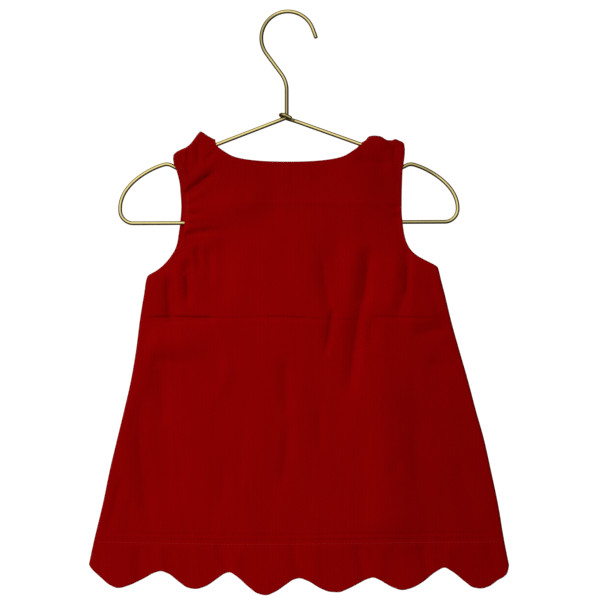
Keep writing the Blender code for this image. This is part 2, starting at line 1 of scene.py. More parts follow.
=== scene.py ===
"""Looks of a small child's red needlecord dress that hangs on a bent wire hanger.

Sizes are in millimetres. Heights are drops below the inside top of the hook, which is the
origin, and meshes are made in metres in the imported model's frame. The shown side is the
garment's back and faces -Y. The hidden side is its front, where the straps button.
"""

from __future__ import annotations

import logging
import math
from dataclasses import dataclass, field
from enum import Enum

import bmesh
import bpy
import numpy as np
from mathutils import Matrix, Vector

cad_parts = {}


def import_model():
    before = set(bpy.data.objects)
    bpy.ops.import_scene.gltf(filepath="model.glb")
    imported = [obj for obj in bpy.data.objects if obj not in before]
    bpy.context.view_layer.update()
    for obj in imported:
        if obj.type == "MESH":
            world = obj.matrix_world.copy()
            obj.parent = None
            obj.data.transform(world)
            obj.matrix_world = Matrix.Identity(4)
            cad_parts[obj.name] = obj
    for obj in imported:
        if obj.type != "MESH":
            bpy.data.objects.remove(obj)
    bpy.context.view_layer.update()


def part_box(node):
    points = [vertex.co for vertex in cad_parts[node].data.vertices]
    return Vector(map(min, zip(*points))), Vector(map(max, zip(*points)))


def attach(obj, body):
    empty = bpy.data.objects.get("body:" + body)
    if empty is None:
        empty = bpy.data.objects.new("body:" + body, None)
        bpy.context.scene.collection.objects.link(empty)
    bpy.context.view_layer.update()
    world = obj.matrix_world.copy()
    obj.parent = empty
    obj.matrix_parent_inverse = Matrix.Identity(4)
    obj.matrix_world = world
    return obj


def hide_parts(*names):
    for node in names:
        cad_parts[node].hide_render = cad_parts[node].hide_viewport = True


MM = 0.001
SHARP_ANGLE = math.radians(55.0)
LOG = logging.getLogger("dress")

Array = np.ndarray
Colour = tuple[float, float, float]
Triple = tuple[float, float, float]
Material = bpy.types.Material
Node = bpy.types.Node
NodeTree = bpy.types.NodeTree
Piece = bpy.types.Object
Socket = bpy.types.NodeSocket


class Side(Enum):
    """A panel of the dress, by the way its outer face looks along Y."""

    BACK = -1
    FRONT = 1


class Edge(Enum):
    """An edge of a panel, by its direction across."""

    LEFT = -1
    RIGHT = 1


def lerp(start: Array | float, end: Array | float, share: Array | float) -> Array | float:
    """Return the value a share of the way from start to end."""
    return start + (end - start) * share


def ease(share: Array | float) -> Array:
    """Return a share eased so that it is level at 0 and 1, and held beyond them."""
    held = np.clip(share, 0.0, 1.0)
    return held * held * (3.0 - 2.0 * held)


def bell(off: Array) -> Array:
    """Return 1 at 0, fading to both sides and down by about two thirds at 1."""
    return np.exp(-(off**2))


def unit(vectors: Array) -> Array:
    """Return vectors at unit length."""
    return vectors / np.linalg.norm(vectors, axis=-1, keepdims=True)


def together(*parts: Array | float) -> Array:
    """Return parts, spread to one shape, side by side along a new last axis."""
    return np.stack(np.broadcast_arrays(*parts), axis=-1)


def angles_round(count: int) -> Array:
    """Return angles that are spread evenly round a circle."""
    return 2.0 * np.pi * np.arange(count) / count


@dataclass(frozen=True)
class MeasuredCurve:
    """A smooth curve through measured points that never swings past them.

    Attributes:
        places: Where the points lie, rising.
        values: The curve's value at each place.
    """

    places: tuple[float, ...]
    values: tuple[float, ...]

    def slopes(self) -> Array:
        """Return the curve's slope at each of its points."""
        runs = np.diff(self.places)
        steps = np.diff(self.values) / runs
        found = np.empty(len(self.places))
        found[0], found[-1] = steps[0], steps[-1]
        before, after = steps[:-1], steps[1:]
        weight_before = 2.0 * runs[1:] + runs[:-1]
        weight_after = runs[1:] + 2.0 * runs[:-1]
        turning = before * after <= 0.0
        safe_before = np.where(turning, 1.0, before)
        safe_after = np.where(turning, 1.0, after)
        mean = (weight_before + weight_after) / (
            weight_before / safe_before + weight_after / safe_after
        )
        found[1:-1] = np.where(turning, 0.0, mean)
        return found

    def at(self, place: Array | float) -> Array:
        """Return the curve's value at places; beyond its ends it stays level.

        Args:
            place: Where to read the curve.
        """
        places, values, slopes = np.array(self.places), np.array(self.values), self.slopes()
        held = np.clip(place, places[0], places[-1])
        low = np.clip(np.searchsorted(places, held, side="right") - 1, 0, len(places) - 2)
        run = places[low + 1] - places[low]
        share = (held - places[low]) / run
        rest = 1.0 - share
        return (
            values[low] * (1.0 + 2.0 * share) * rest**2
            + slopes[low] * run * share * rest**2
            + values[low + 1] * (3.0 - 2.0 * share) * share**2
            - slopes[low + 1] * run * rest * share**2
        )

    def slope_at(self, place: Array) -> Array:
        """Return the curve's slope at places, read over one millimetre."""
        return self.at(place + 0.5) - self.at(place - 0.5)


@dataclass(frozen=True)
class Section:
    """One level of the dress: its drop, its two edges, and how far its middle stands out."""

    drop: float
    left: float
    right: float
    belly: float


@dataclass(frozen=True)
class Mark:
    """One point, by its place across and its drop."""

    across: float
    drop: float

    def point(self) -> Triple:
        """Return where it lies on the middle plane, in metres."""
        return self.across * MM, 0.0, -self.drop * MM


@dataclass(frozen=True)
class Fold:
    """A soft trough in a panel, or a ridge where its depth is negative.

    Attributes:
        across, drop: Where it starts.
        to_across, to_drop: Where it ends.
        half_width: From its line to where it has faded by about two thirds.
        depth: How far it pushes the cloth in, at its middle.
        bow: How far its line swings sideways between its ends.
        lean: How much deeper one flank is than the other.
        fade_in, fade_out: Shares of its length over which it starts and ends.
    """

    across: float
    drop: float
    to_across: float
    to_drop: float
    half_width: float
    depth: float
    bow: float = 0.0
    lean: float = 0.0
    fade_in: float = 0.4
    fade_out: float = 0.4

    def depth_at(self, across: Array, drop: Array) -> Array:
        """Return how far this fold pushes each point in.

        Args:
            across: Places across the dress.
            drop: Drops of the same points.
        """
        run_across = self.to_across - self.across
        run_drop = self.to_drop - self.drop
        length = math.hypot(run_across, run_drop)
        off_across, off_drop = across - self.across, drop - self.drop
        along = (off_across * run_across + off_drop * run_drop) / length**2
        swing = self.bow * np.sin(np.pi * np.clip(along, 0.0, 1.0))
        beside = (off_across * run_drop - off_drop * run_across) / length - swing
        beside = beside / self.half_width
        ends = ease(along / self.fade_in) * ease((1.0 - along) / self.fade_out)
        return self.depth * ends * bell(beside) * (1.0 + self.lean * np.tanh(3.0 * beside))


SECTIONS = (
    Section(490, -176.4, 195.6, 13),
    Section(464, -170.9, 190.6, 12.8),
    Section(432, -163.2, 185.2, 12.3),
    Section(402, -157, 178.9, 11.7),
    Section(375, -150.6, 172.9, 11.1),
    Section(349, -144.3, 165.6, 10.6),
    Section(322, -138.2, 158.5, 10),
    Section(296, -133.8, 151, 9.5),
    Section(270, -130.5, 143.8, 9),
    Section(247, -126.8, 138.3, 8.5),
    Section(231, -123.7, 134.2, 8.2),
    Section(227, -117.1, 133.3, 8.1),
    Section(223, -111.7, 132, 8),
    Section(218.5, -106.8, 124.6, 7.9),
    Section(213, -101.8, 114.4, 7.8),
    Section(207, -97.4, 107.9, 7.7),
    Section(199, -94.4, 103.9, 7.5),
    Section(187, -93.2, 101.6, 7.2),
    Section(172, -93.6, 100.4, 6.6),
    Section(160, -94.7, 100.5, 6),
    Section(150, -95.7, 100.8, 5.4),
    Section(140, -98.1, 101.2, 4.8),
    Section(132, -100.9, 102.4, 4.2),
    Section(125, -101.6, 103.2, 3.8),
    Section(115, -101.6, 103.4, 3.75),
)

# Lobes and cusps of the scalloped hem, with a point on each flank and at the side corners
HEM = (
    Mark(-176, 484.6), Mark(-172.5, 488.8), Mark(-164.5, 496.2), Mark(-157, 502.4),
    Mark(-149.2, 505.3), Mark(-139, 502.6), Mark(-126, 496.4), Mark(-117.5, 491.7),
    Mark(-111.8, 490.1), Mark(-105, 492.3), Mark(-95, 499.9), Mark(-88, 504.5),
    Mark(-81, 505.7), Mark(-72.5, 503.4), Mark(-61.5, 496.2), Mark(-55.5, 492.2),
    Mark(-51.3, 491), Mark(-46.5, 493.3), Mark(-34, 504.1), Mark(-26.5, 509.4),
    Mark(-19.4, 511), Mark(-11.5, 508.2), Mark(-1, 501.2), Mark(5, 497.3),
    Mark(10.4, 496), Mark(16.5, 498.1), Mark(30, 505.6), Mark(37, 508),
    Mark(44.5, 508.4), Mark(51.5, 506), Mark(63, 500.3), Mark(70, 496.9),
    Mark(74.6, 495.6), Mark(80, 497.7), Mark(93, 504.6), Mark(100.4, 506.7),
    Mark(108.5, 504.9), Mark(119, 499.3), Mark(130.5, 490.4), Mark(137.6, 487.1),
    Mark(143.5, 490.1), Mark(157, 500.7), Mark(162.5, 504.6), Mark(169.9, 505.7),
    Mark(176.5, 504), Mark(184.5, 498.6), Mark(192.4, 493.4), Mark(194.8, 486),
)

LEFT_STRAP_TOP = (
    Mark(-101.6, 125), Mark(-98.5, 121.9), Mark(-95, 119.9), Mark(-89.7, 117.5),
    Mark(-86.2, 114.8), Mark(-82.6, 110.3), Mark(-79.1, 105.6), Mark(-76.9, 103.6),
    Mark(-73.8, 105.1), Mark(-70.3, 107.6), Mark(-65, 110.4),
)

RIGHT_STRAP_TOP = (
    Mark(65.8, 113), Mark(68.7, 111), Mark(71, 108.2), Mark(75.8, 107.3),
    Mark(81, 107.8), Mark(88.1, 111.3), Mark(91.6, 111.4), Mark(94.3, 110.3),
    Mark(98.6, 111.9), Mark(101.8, 113.6), Mark(103.4, 117.4),
)

# How far the shown panel's left armhole edge lies inside the hidden one's
BACK_SET_IN = (
    Mark(0, 136), Mark(1.6, 150), Mark(2.6, 160), Mark(2.3, 172),
    Mark(1.7, 187), Mark(0.9, 199), Mark(0, 212),
)

BACK_FOLDS = (
    # Left shoulder: the strong slanting crease, its weaker twins and the puckers below it
    Fold(-98, 162.5, -60, 136, 4.2, 2.8, 0.8, -0.8, 0.1, 0.35),
    Fold(-73.5, 103, -65.5, 109.4, 2.2, 1.3, 0, 0.8, 0.2, 0.2),
    Fold(-86, 148, -61, 127, 4, -1.3, 0.4, 0, 0.3),
    Fold(-94, 166, -66, 153, 4.6, -1.4, 0, 0, 0.2, 0.5),
    Fold(-91.8, 129, -87, 146, 2.2, 1.1, 0.4, 0.6, 0.3, 0.3),
    Fold(-88.8, 119, -88, 132, 2.2, 1, 0, 0.6, 0.3, 0.3),
    Fold(-80.5, 112, -79.5, 134, 2.6, 1.1, 0.3, 0.6, 0.3, 0.3),
    Fold(-75.5, 132, -63, 119.5, 2.6, 0.9, 0, -0.6, 0.3, 0.3),
    Fold(-95, 122, -93, 132, 2, 0.8, 0, 0.5, 0.3, 0.3),
    Fold(-98, 168.5, -78, 165.5, 2.2, 0.9, 0, -0.7, 0.05, 0.6),
    Fold(-98, 177.5, -66, 174, 3.2, 1.6, 0.4, -0.7, 0.05, 0.6),
    Fold(-98, 185.5, -72, 183, 2.6, 1.1, 0, -0.7, 0.05, 0.6),
    Fold(-98, 194.5, -44, 189.5, 4.2, 2, 1.6, -0.8, 0.05, 0.7),
    Fold(-92, 201, -64, 197, 3, 0.8, 0, -0.6, 0.1, 0.6),
    Fold(-98, 170, -8, 165, 14, -3.6, 0, 0, 0.05, 0.3),
    Fold(-98, 184, -28, 174, 14, -2.2, 0, 0, 0.05, 0.5),
    # Right strap
    Fold(64, 100, 66, 204, 22, -3.4, 0, 0, 0.05),
    Fold(56, 126, 92, 132, 6, 1.5, 0, -0.6, 0.3, 0.3),
    Fold(93.5, 114, 92.5, 134, 2.6, 0.9, 0, 0.5),
    Fold(77, 113, 90, 117, 3, -1),
    Fold(88, 168, 106, 171, 2.8, 1.1, 0, -0.6, 0.4, 0.05),
    Fold(88, 178, 106, 177, 2.4, 0.9, 0, -0.6, 0.4, 0.05),
    # Left bodice
    Fold(-91.4, 214, -89, 258, 5, 2.6, 0.6, 0.7, 0.25, 0.35),
    Fold(-63, 190, -58, 262, 13, 2.4, 0, 0.3, 0.3),
    Fold(-107.5, 228, -105, 274, 6.4, 2.8, 0, 0.6, 0.3, 0.2),
    Fold(-82, 203, -79, 236, 4, 1.9, 0.8, 0.6, 0.2, 0.5),
    Fold(-73, 202, -69.5, 242, 6.6, 2.3, 0.8, 0.3, 0.3, 0.5),
    Fold(-98, 212, -97, 262, 4, -1.1),
    # Right bodice: the long slanting fold and its neighbours
    Fold(71, 200, 64, 262, 6.6, 3.7, 0.8, 0.3, 0.3, 0.25),
    Fold(65, 244, 51, 346, 6.4, 3.3, -0.8, 0.3, 0.25, 0.35),
    Fold(72, 266, 71, 298, 5, 1.8, 0, 0.3, 0.35, 0.35),
    Fold(57, 196, 53, 262, 8, -1.6),
    Fold(40, 180, 43, 268, 13, 2.6),
    Fold(98, 206, 95, 272, 15, -2.4, 0, -0.2, 0.4, 0.3),
    Fold(27, 204, 37, 268, 6, 1.6, -1, 0.4, 0.4, 0.25),
    Fold(38.5, 256, 30, 306, 4.6, 1.9, 0.8, 0.6, 0.2),
    Fold(103.8, 188, 103, 256, 4.2, 2, 0.4, 0.6, 0.1, 0.25),
    Fold(103, 240, 95, 266, 5, 1.1, 0, 0.4, 0.3, 0.3),
    Fold(95, 205, 94, 240, 4, -0.8),
    Fold(122, 230, 133, 268, 5, 1.3, 0.5, 0.5),
    Fold(96, 265, 150, 262, 13, -2.6, 0, 0, 0.3, 0.05),
    Fold(105, 281, 149, 271, 7, 1.9, -1.2, -0.35, 0.4, 0.05),
    Fold(122, 303, 154, 313, 7, 1.4, 0, -0.3, 0.3, 0.05),
    # Skirt
    Fold(-4, 298, -3.6, 360, 6.6, 2, 0.6, 0.3, 0.3, 0.3),
    Fold(-1, 352, -7, 422, 6.2, 1.4, 0.8, 0.4, 0.4, 0.3),
    Fold(12, 300, 10, 420, 9, -1),
    Fold(26, 336, 28, 392, 4.4, 0.9, 0, 0.4),
    Fold(-130, 289, -62, 292, 13, -3.2, 0, 0, 0.1),
    Fold(-122, 303, -76, 307, 8, 1.1, 1, -0.4, 0.2, 0.5),
    Fold(-116, 290, -104, 456, 15, 2.6, 0, 0, 0.3, 0.3),
    Fold(-136, 322, -123, 464, 8.6, 2.8, -1.4, 0.3, 0.3, 0.3),
    Fold(-147, 404, -163, 462, 5, 2.7, 0, 0.5, 0.25, 0.3),
    Fold(-135, 342, -143, 378, 4, 1.1, 0, 0.6),
    Fold(-47, 302, -68, 350, 7, -1, 0, 0, 0.3, 0.3),
    Fold(-114.5, 304, -110, 366, 6, 1.5, 0, 0.4, 0.3, 0.3),
    Fold(-56, 380, -62, 450, 7, 0.9, 0, 0.4),
    Fold(98, 384, 89, 416, 5.4, 0.7, 0, 0.2),
    Fold(82, 276, 90, 482, 27, -5, 0, 0, 0.3, 0.2),
    Fold(109, 330, 116, 452, 13, 1.2, -2, 0.3),
    Fold(62, 360, 66, 452, 10, 1.3, 0, 0.3),
    Fold(150, 336, 166, 342, 3.4, 1, 0, -0.6, 0.6, 0.05),
    Fold(154, 353, 171, 359, 3.4, 1, 0, -0.6, 0.6, 0.05),
    Fold(160, 386, 180, 394, 4, 1.1, 0, -0.6, 0.6, 0.05),
    Fold(168, 424, 186, 430, 3.6, 0.9, 0, -0.6, 0.6, 0.05),
    Fold(146, 384, 166, 456, 9, 1, 0, 0.1),
    Fold(-40, 330, -46, 440, 11, 0.8),
    # Press creases
    Fold(-130, 266.6, -58, 267.4, 3.4, 1.4, 0.3, -0.9, 0.1, 0.2),
    Fold(-66, 267.2, -8, 266.4, 2.4, 0.32, 0, -0.9, 0.2, 0.2),
    Fold(-20, 266.2, 24, 268, 2.6, 0.8, 0.3, -0.9, 0.2, 0.3),
    Fold(14, 268, 70, 269.4, 2.6, 0.4, 0, -0.9, 0.2, 0.3),
    Fold(66, 266, 136, 267.4, 2.8, 0.45, 0, -0.9, 0.2, 0.3),
    Fold(-78, 166.4, 98, 165.4, 4.4, -0.4, 0.8, -0.7, 0.2, 0.2),
    # Between the hem's cusps and the facing's line
    Fold(-134, 462, -131, 508, 6, 1.1, 0, 0.4, 0.3, 0.1),
    Fold(-113, 464, -111, 494, 5, -0.9, 0, 0, 0.3, 0.1),
    Fold(-64, 462, -53, 494, 5, 1.2, 0, 0.5, 0.3, 0.1),
    Fold(-44, 466, -46, 500, 5, -0.8, 0, 0, 0.3, 0.1),
    Fold(1, 462, 9, 498, 5, 1, 0, 0.5, 0.3, 0.1),
    Fold(22, 466, 24, 500, 5, -0.6, 0, 0, 0.3, 0.1),
    Fold(58, 462, 66, 503, 6, 1.2, 0, 0.5, 0.3, 0.1),
    Fold(81, 466, 80, 498, 5, -0.8, 0, 0, 0.3, 0.1),
    Fold(114, 464, 124, 500, 5.5, 1.1, 0, 0.5, 0.3, 0.1),
    Fold(141, 466, 141, 492, 5, -0.8, 0, 0, 0.3, 0.1),
    Fold(174, 462, 184, 500, 5, 1.1, 0, 0.5, 0.3, 0.1),
)

FRONT_FOLDS = (
    # Armholes, as the cloth pulls from the buttoned straps
    Fold(99, 160, 70, 184, 4, 2.03, -0.6, 0.2, 0.1, 0.5),
    Fold(100, 172, 78, 190, 3.4, 0.94, 0, 0, 0.1, 0.6),
    Fold(-96, 152, -70, 178, 4, 1.62, 0.6, 0, 0.1, 0.5),
    Fold(-98, 176, -76, 182, 2.8, 0.94, 0, 0, 0.05, 0.7),
    Fold(102, 190, 82, 194, 2.6, 0.68, 0, 0, 0.05, 0.7),
    # Bodice
    Fold(-80, 192, -66, 300, 5.5, 2.7, 1.6, 0.2),
    Fold(-62, 200, -52, 270, 8, -1.35),
    Fold(-36, 214, -30, 304, 5, 1.62, -1),
    Fold(88, 204, 92, 258, 4.4, 1.89, 0.6),
    Fold(70, 210, 72, 270, 9, -1.35),
    Fold(24, 196, 18, 262, 5.5, 1.22, 0.8),
    Fold(-112, 236, -104, 270, 4, 1.35),
    Fold(116, 240, 112, 284, 4, 1.22),
    # Skirt
    Fold(8, 288, 15, 412, 6, 2.16, 1.2),
    Fold(30, 300, 34, 440, 10, -1.08),
    Fold(108, 290, 136, 446, 7, 2.29, -2),
    Fold(128, 300, 160, 450, 9, -1.08),
    Fold(-104, 296, -126, 448, 7, 2.43, 1.6),
    Fold(-86, 320, -94, 440, 11, -1.22),
    Fold(-56, 316, -62, 446, 9, 1.22),
    Fold(66, 330, 74, 446, 9, 1.22),
    Fold(-148, 392, -158, 450, 4.4, 1.49),
    Fold(168, 380, 180, 440, 5, 1.35),
    # Press creases
    Fold(-118, 267.6, -40, 266.8, 1.5, 0.68, 0.2, 0, 0.2, 0.2),
    Fold(-34, 266.8, 24, 268.2, 1.4, 0.41, 0, 0, 0.3, 0.3),
    Fold(30, 268.4, 124, 266.8, 1.5, 0.74, 0.4, 0, 0.2, 0.2),
    # Between the hem's cusps and the facing's line
    Fold(-134, 468, -131, 506, 6, 0.7, 0, 0, 0.3, 0.1),
    Fold(-58, 466, -54, 492, 5, 0.7, 0, 0, 0.3, 0.1),
    Fold(0, 466, 7, 496, 5, 0.7, 0, 0, 0.3, 0.1),
    Fold(66, 464, 70, 498, 6, 0.8, 0, 0, 0.3, 0.1),
    Fold(128, 466, 132, 490, 5.5, 0.7, 0, 0, 0.3, 0.1),
    Fold(-112, 468, -112, 490, 5, -0.6, 0, 0, 0.3, 0.1),
)


def curve_through(marks: tuple[Mark, ...]) -> MeasuredCurve:
    """Return the smooth curve of drops through marks that rise across."""
    return MeasuredCurve(tuple(m.across for m in marks), tuple(m.drop for m in marks))


def curve_down(marks: tuple[Mark, ...]) -> MeasuredCurve:
    """Return the smooth curve of places across through marks that go down."""
    return MeasuredCurve(tuple(m.drop for m in marks), tuple(m.across for m in marks))


@dataclass(frozen=True)
class Ripples:
    """Slight unevenness of cloth that has been used and washed: many shallow waves.

    Attributes:
        count: How many waves are summed.
        shortest, longest: Limits of their length across, in millimetres.
        stretch: How much longer they are downwards than across.
        slope: Root mean square slope of the summed waves.
        seed: Start of the fixed random series.
    """

    count: int = 34
    shortest: float = 18.0
    longest: float = 95.0
    stretch: float = 2.4
    slope: float = 0.016
    seed: int = 11

    def height(self, across: Array, drop: Array) -> Array:
        """Return how far the waves lift each point.

        Args:
            across: Places across the dress.
            drop: Drops of the same points.
        """
        chance = np.random.default_rng(self.seed)
        total = np.zeros(np.broadcast(across, drop).shape)
        each = self.slope * math.sqrt(2.0 / self.count)
        for _ in range(self.count):
            length = self.shortest * (self.longest / self.shortest) ** chance.random()
            angle = chance.uniform(-1.1, 1.1)
            phase = chance.uniform(0.0, 2.0 * math.pi)
            step = 2.0 * math.pi / length
            wave = across * math.cos(angle) + drop * math.sin(angle) / self.stretch
            total += each / step * np.sin(step * wave + phase)
        return total


@dataclass
class DressCut:
    """Outline and sizes that both panels share."""

    wall: float = 1.4
    seam_gap: float = 0.06
    side_radius: float = 3.0
    seam_valley: float = 0.2
    flat_edge: float = 3.75
    side_flare: float = 90.0
    armhole_flare: float = 20.0
    parting_height: float = 20.0
    armpit_left: float = 231.0
    armpit_right: float = 223.0
    neck_centre: float = 0.2
    neck_half_width: float = 62.0
    neck_side_drop: float = 116.8
    neck_corner: float = 66.3
    neck_corner_drop: float = 113.4
    neck_corner_slope: float = 0.053
    neck_blend: float = 2.2
    fold_rise: float = 4.0
    fold_rise_inside: float = 2.6
    fold_rise_reach: float = 9.0
    tab_length: float = 31.2
    tab_corner: float = 6.0
    tab_taper: float = 0.08
    tab_inset: float = 1.2
    tab_gap: float = 0.3
    steepest_trim: float = 1.7
    left_edge: MeasuredCurve = field(init=False)
    right_edge: MeasuredCurve = field(init=False)
    belly: MeasuredCurve = field(init=False)
    hem: MeasuredCurve = field(init=False)
    left_top: MeasuredCurve = field(init=False)
    right_top: MeasuredCurve = field(init=False)

    def __post_init__(self) -> None:
        """Lay smooth curves through the measured tables."""
        rows = sorted(SECTIONS, key=lambda row: row.drop)
        drops = tuple(row.drop for row in rows)
        self.left_edge = MeasuredCurve(drops, tuple(row.left for row in rows))
        self.right_edge = MeasuredCurve(drops, tuple(row.right for row in rows))
        self.belly = MeasuredCurve(drops, tuple(row.belly for row in rows))
        self.hem = curve_through(HEM)
        self.left_top = curve_through(LEFT_STRAP_TOP)
        self.right_top = curve_through(RIGHT_STRAP_TOP)

    @property
    def roll(self) -> float:
        """Return how far a rounded free edge stands beyond the panel's grid."""
        return self.wall / 2.0

    def parting(self, edge: Edge, drop: Array) -> Array:
        """Return how far the panels have parted: 0 on a side seam, 1 beside an armhole."""
        armpit = self.armpit_left if edge is Edge.LEFT else self.armpit_right
        return ease((armpit - drop) / self.parting_height)

    def flare(self, edge: Edge, drop: Array) -> Array:
        """Return the angle, in radians, that an edge turns towards the other panel."""
        return np.radians(lerp(self.side_flare, self.armhole_flare, self.parting(edge, drop)))

    def edge_face(self, edge: Edge, drop: Array) -> Array:
        """Return how far the cloth stands from the middle plane just inside an edge."""
        seam = self.side_radius + self.seam_gap / 2.0
        return lerp(seam, self.flat_edge, self.parting(edge, drop))

    def trimmed(self, slope: Array) -> Array:
        """Return how much the drop of a sloping line changes where its edge is rolled."""
        return self.roll * np.minimum(np.sqrt(1.0 + slope**2), self.steepest_trim)

    def hem_drop(self, across: Array, rise: float) -> Array:
        """Return the drop of the panel's grid at the hem, inside its rolled edge.

        Args:
            across: Places across the hem.
            rise: How much shorter this panel is than the shown one.
        """
        return self.hem.at(across) - rise - self.trimmed(self.hem.slope_at(across))

    def neck_drop(self, across: Array, depth: float) -> Array:
        """Return the drop of a neckline: half an ellipse that runs straight into the straps.

        Args:
            across: Places across the neck.
            depth: Depth of the neck's scoop.
        """
        reach = np.abs(across - self.neck_centre)
        off_centre = np.minimum(1.0, reach / self.neck_half_width)
        scoop = self.neck_side_drop + depth * np.sqrt(1.0 - off_centre**2)
        run = np.maximum(0.0, self.neck_corner - reach) * depth * self.neck_corner_slope
        straight = self.neck_corner_drop + run
        apart = np.sqrt((scoop - straight) ** 2 + self.neck_blend**2)
        return (scoop + straight - apart + self.neck_blend * ease(off_centre)) / 2.0

    def neck_slope(self, across: Array, depth: float) -> Array:
        """Return how steep a neckline is."""
        return self.neck_drop(across + 0.5, depth) - self.neck_drop(across - 0.5, depth)

    def strap_top(self, across: Array) -> Array:
        """Return the drop of the straps' folded tops."""
        return np.where(across < 0.0, self.left_top.at(across), self.right_top.at(across))

    def rise_at(self, across: Array) -> Array:
        """Return the height of a strap's fold, which is lower beside the neck."""
        inside = np.where(across < 0.0, LEFT_STRAP_TOP[-1].across, RIGHT_STRAP_TOP[0].across)
        share = ease(np.abs(across - inside) / self.fold_rise_reach)
        return lerp(self.fold_rise_inside, self.fold_rise, share)

    def tab_end(self, edge: Edge) -> float:
        """Return the drop of a tab's straight end."""
        marks = LEFT_STRAP_TOP if edge is Edge.LEFT else RIGHT_STRAP_TOP
        top = (marks[0].drop + marks[-1].drop) / 2.0
        return top + self.fold_rise + self.tab_length


@dataclass(frozen=True)
class TurnedEdge:
    """The relief of a cloth edge that is turned in and top-stitched.

    Attributes:
        rise: How much the doubled cloth stands up.
        inset: From the edge to the stitches.
        groove: How deep the stitches lie.
        groove_width: Half the width over which they draw the cloth in.
        fade: Distance over which the doubled cloth ends inside them.
    """

    rise: float = 0.3
    inset: float = 3.1
    groove: float = 0.32
    groove_width: float = 1.0
    fade: float = 1.6

    def height(self, distance: Array) -> Array:
        """Return the relief at distances in from the edge."""
        doubled = self.rise * (1.0 - ease((distance - self.inset) / self.fade))
        return doubled - self.groove * bell((distance - self.inset) / self.groove_width)


@dataclass(frozen=True)
class Pucker:
    """Small waves that a row of stitches draws up beside it.

    Attributes:
        height: Of the waves at the stitches.
        pitch: From one wave to the next.
        reach: Distance over which they fade.
    """

    height: float
    pitch: float
    reach: float

    def height_at(self, distance: Array, along: Array) -> Array:
        """Return the relief at distances from the stitches and places along them."""
        wander = 1.4 * np.sin(along / 11.3) + 0.9 * np.sin(along / 4.7 + 1.0)
        wave = np.sin(2.0 * np.pi * along / self.pitch + wander)
        uneven = 0.65 + 0.35 * np.sin(along / 17.0 + 0.6)
        return self.height * uneven * wave * np.exp(-np.abs(distance) / self.reach)


@dataclass
class PanelGrid:
    """Points of a panel's outer face, in rows from the hem up and columns across.

    Attributes:
        points: Rows by columns by three; what the panel doesn't have is NaN.
        freedom: 1 where a border point is a free, rolled edge and 0 on a side seam.
        sideways: Normals that are held at the side seams; NaN elsewhere.
        facing: The way along Y that upright cloth faces.
    """

    points: Array
    freedom: Array
    sideways: Array
    facing: int

    def cells(self) -> Array:
        """Return the four corner indexes of each cell, wound so that it faces out."""
        rows, columns = self.points.shape[:2]
        index = np.arange(rows * columns).reshape(rows, columns)
        there = ~np.isnan(self.points[..., 0])
        whole = there[:-1, :-1] & there[:-1, 1:] & there[1:, 1:] & there[1:, :-1]
        corners = together(index[:-1, :-1], index[:-1, 1:], index[1:, 1:], index[1:, :-1])[whole]
        return corners if self.facing < 0 else corners[:, ::-1]

    def normals(self) -> Array:
        """Return the unit normal at each point, by the cells around it."""
        flat = self.points.reshape(-1, 3)
        cells = self.cells()
        across = flat[cells[:, 2]] - flat[cells[:, 0]]
        along = flat[cells[:, 3]] - flat[cells[:, 1]]
        facing = np.cross(across, along)
        total = np.zeros_like(flat)
        for corner in range(4):
            np.add.at(total, cells[:, corner], facing)
        lengths = np.linalg.norm(total, axis=1, keepdims=True)
        found = total / np.where(lengths > 0.0, lengths, 1.0)
        held = self.sideways.reshape(-1, 3)
        found = np.where(np.isnan(held), found, held)
        return found.reshape(self.points.shape)

    def border(self) -> list[int]:
        """Return the border's point indexes in order, with the cloth on their left."""
        after: dict[int, int] = {}
        cells = self.cells()
        starts = cells.ravel()
        ends = np.roll(cells, -1, axis=1).ravel()
        pairs = set(zip(starts.tolist(), ends.tolist()))
        for start, end in pairs:
            if (end, start) not in pairs:
                after[start] = end
        first = next(iter(after))
        loop = [first]
        while after[loop[-1]] != first:
            loop.append(after[loop[-1]])
        return loop

    def sample(self, rows: Array, columns: Array) -> tuple[Array, Array]:
        """Return points and normals between the grid's own.

        Args:
            rows: Row numbers, with fractions.
            columns: Column numbers, with fractions.

        Returns:
            The points and their unit normals.
        """
        row = np.clip(rows.astype(int), 0, self.points.shape[0] - 2)
        column = np.clip(columns.astype(int), 0, self.points.shape[1] - 2)
        up, right = (rows - row)[:, None], (columns - column)[:, None]
        found = []
        for values in (self.points, self.normals()):
            low = lerp(values[row, column], values[row, column + 1], right)
            high = lerp(values[row + 1, column], values[row + 1, column + 1], right)
            high = np.where(np.isnan(high), low, high)
            found.append(lerp(low, high, up))
        return found[0], unit(found[1])


def add_object(name: str, points: Array, faces: list, materials: list, indexes: Array) -> Piece:
    """Add a smooth mesh object.

    Args:
        name: Its name.
        points: Its points in millimetres.
        faces: Its faces as lists of point indexes.
        materials: Its materials.
        indexes: The material index of each face.

    Returns:
        The new object.
    """
    mesh = bpy.data.meshes.new(name)
    mesh.from_pydata((np.asarray(points) * MM).tolist(), [], faces)
    for material in materials:
        mesh.materials.append(material)
    mesh.polygons.foreach_set("material_index", np.asarray(indexes, dtype=np.int32))
    mesh.shade_smooth()
    mesh.set_sharp_from_angle(angle=SHARP_ANGLE)
    mesh.update()
    made = bpy.data.objects.new(name, mesh)
    bpy.context.scene.collection.objects.link(made)
    return made


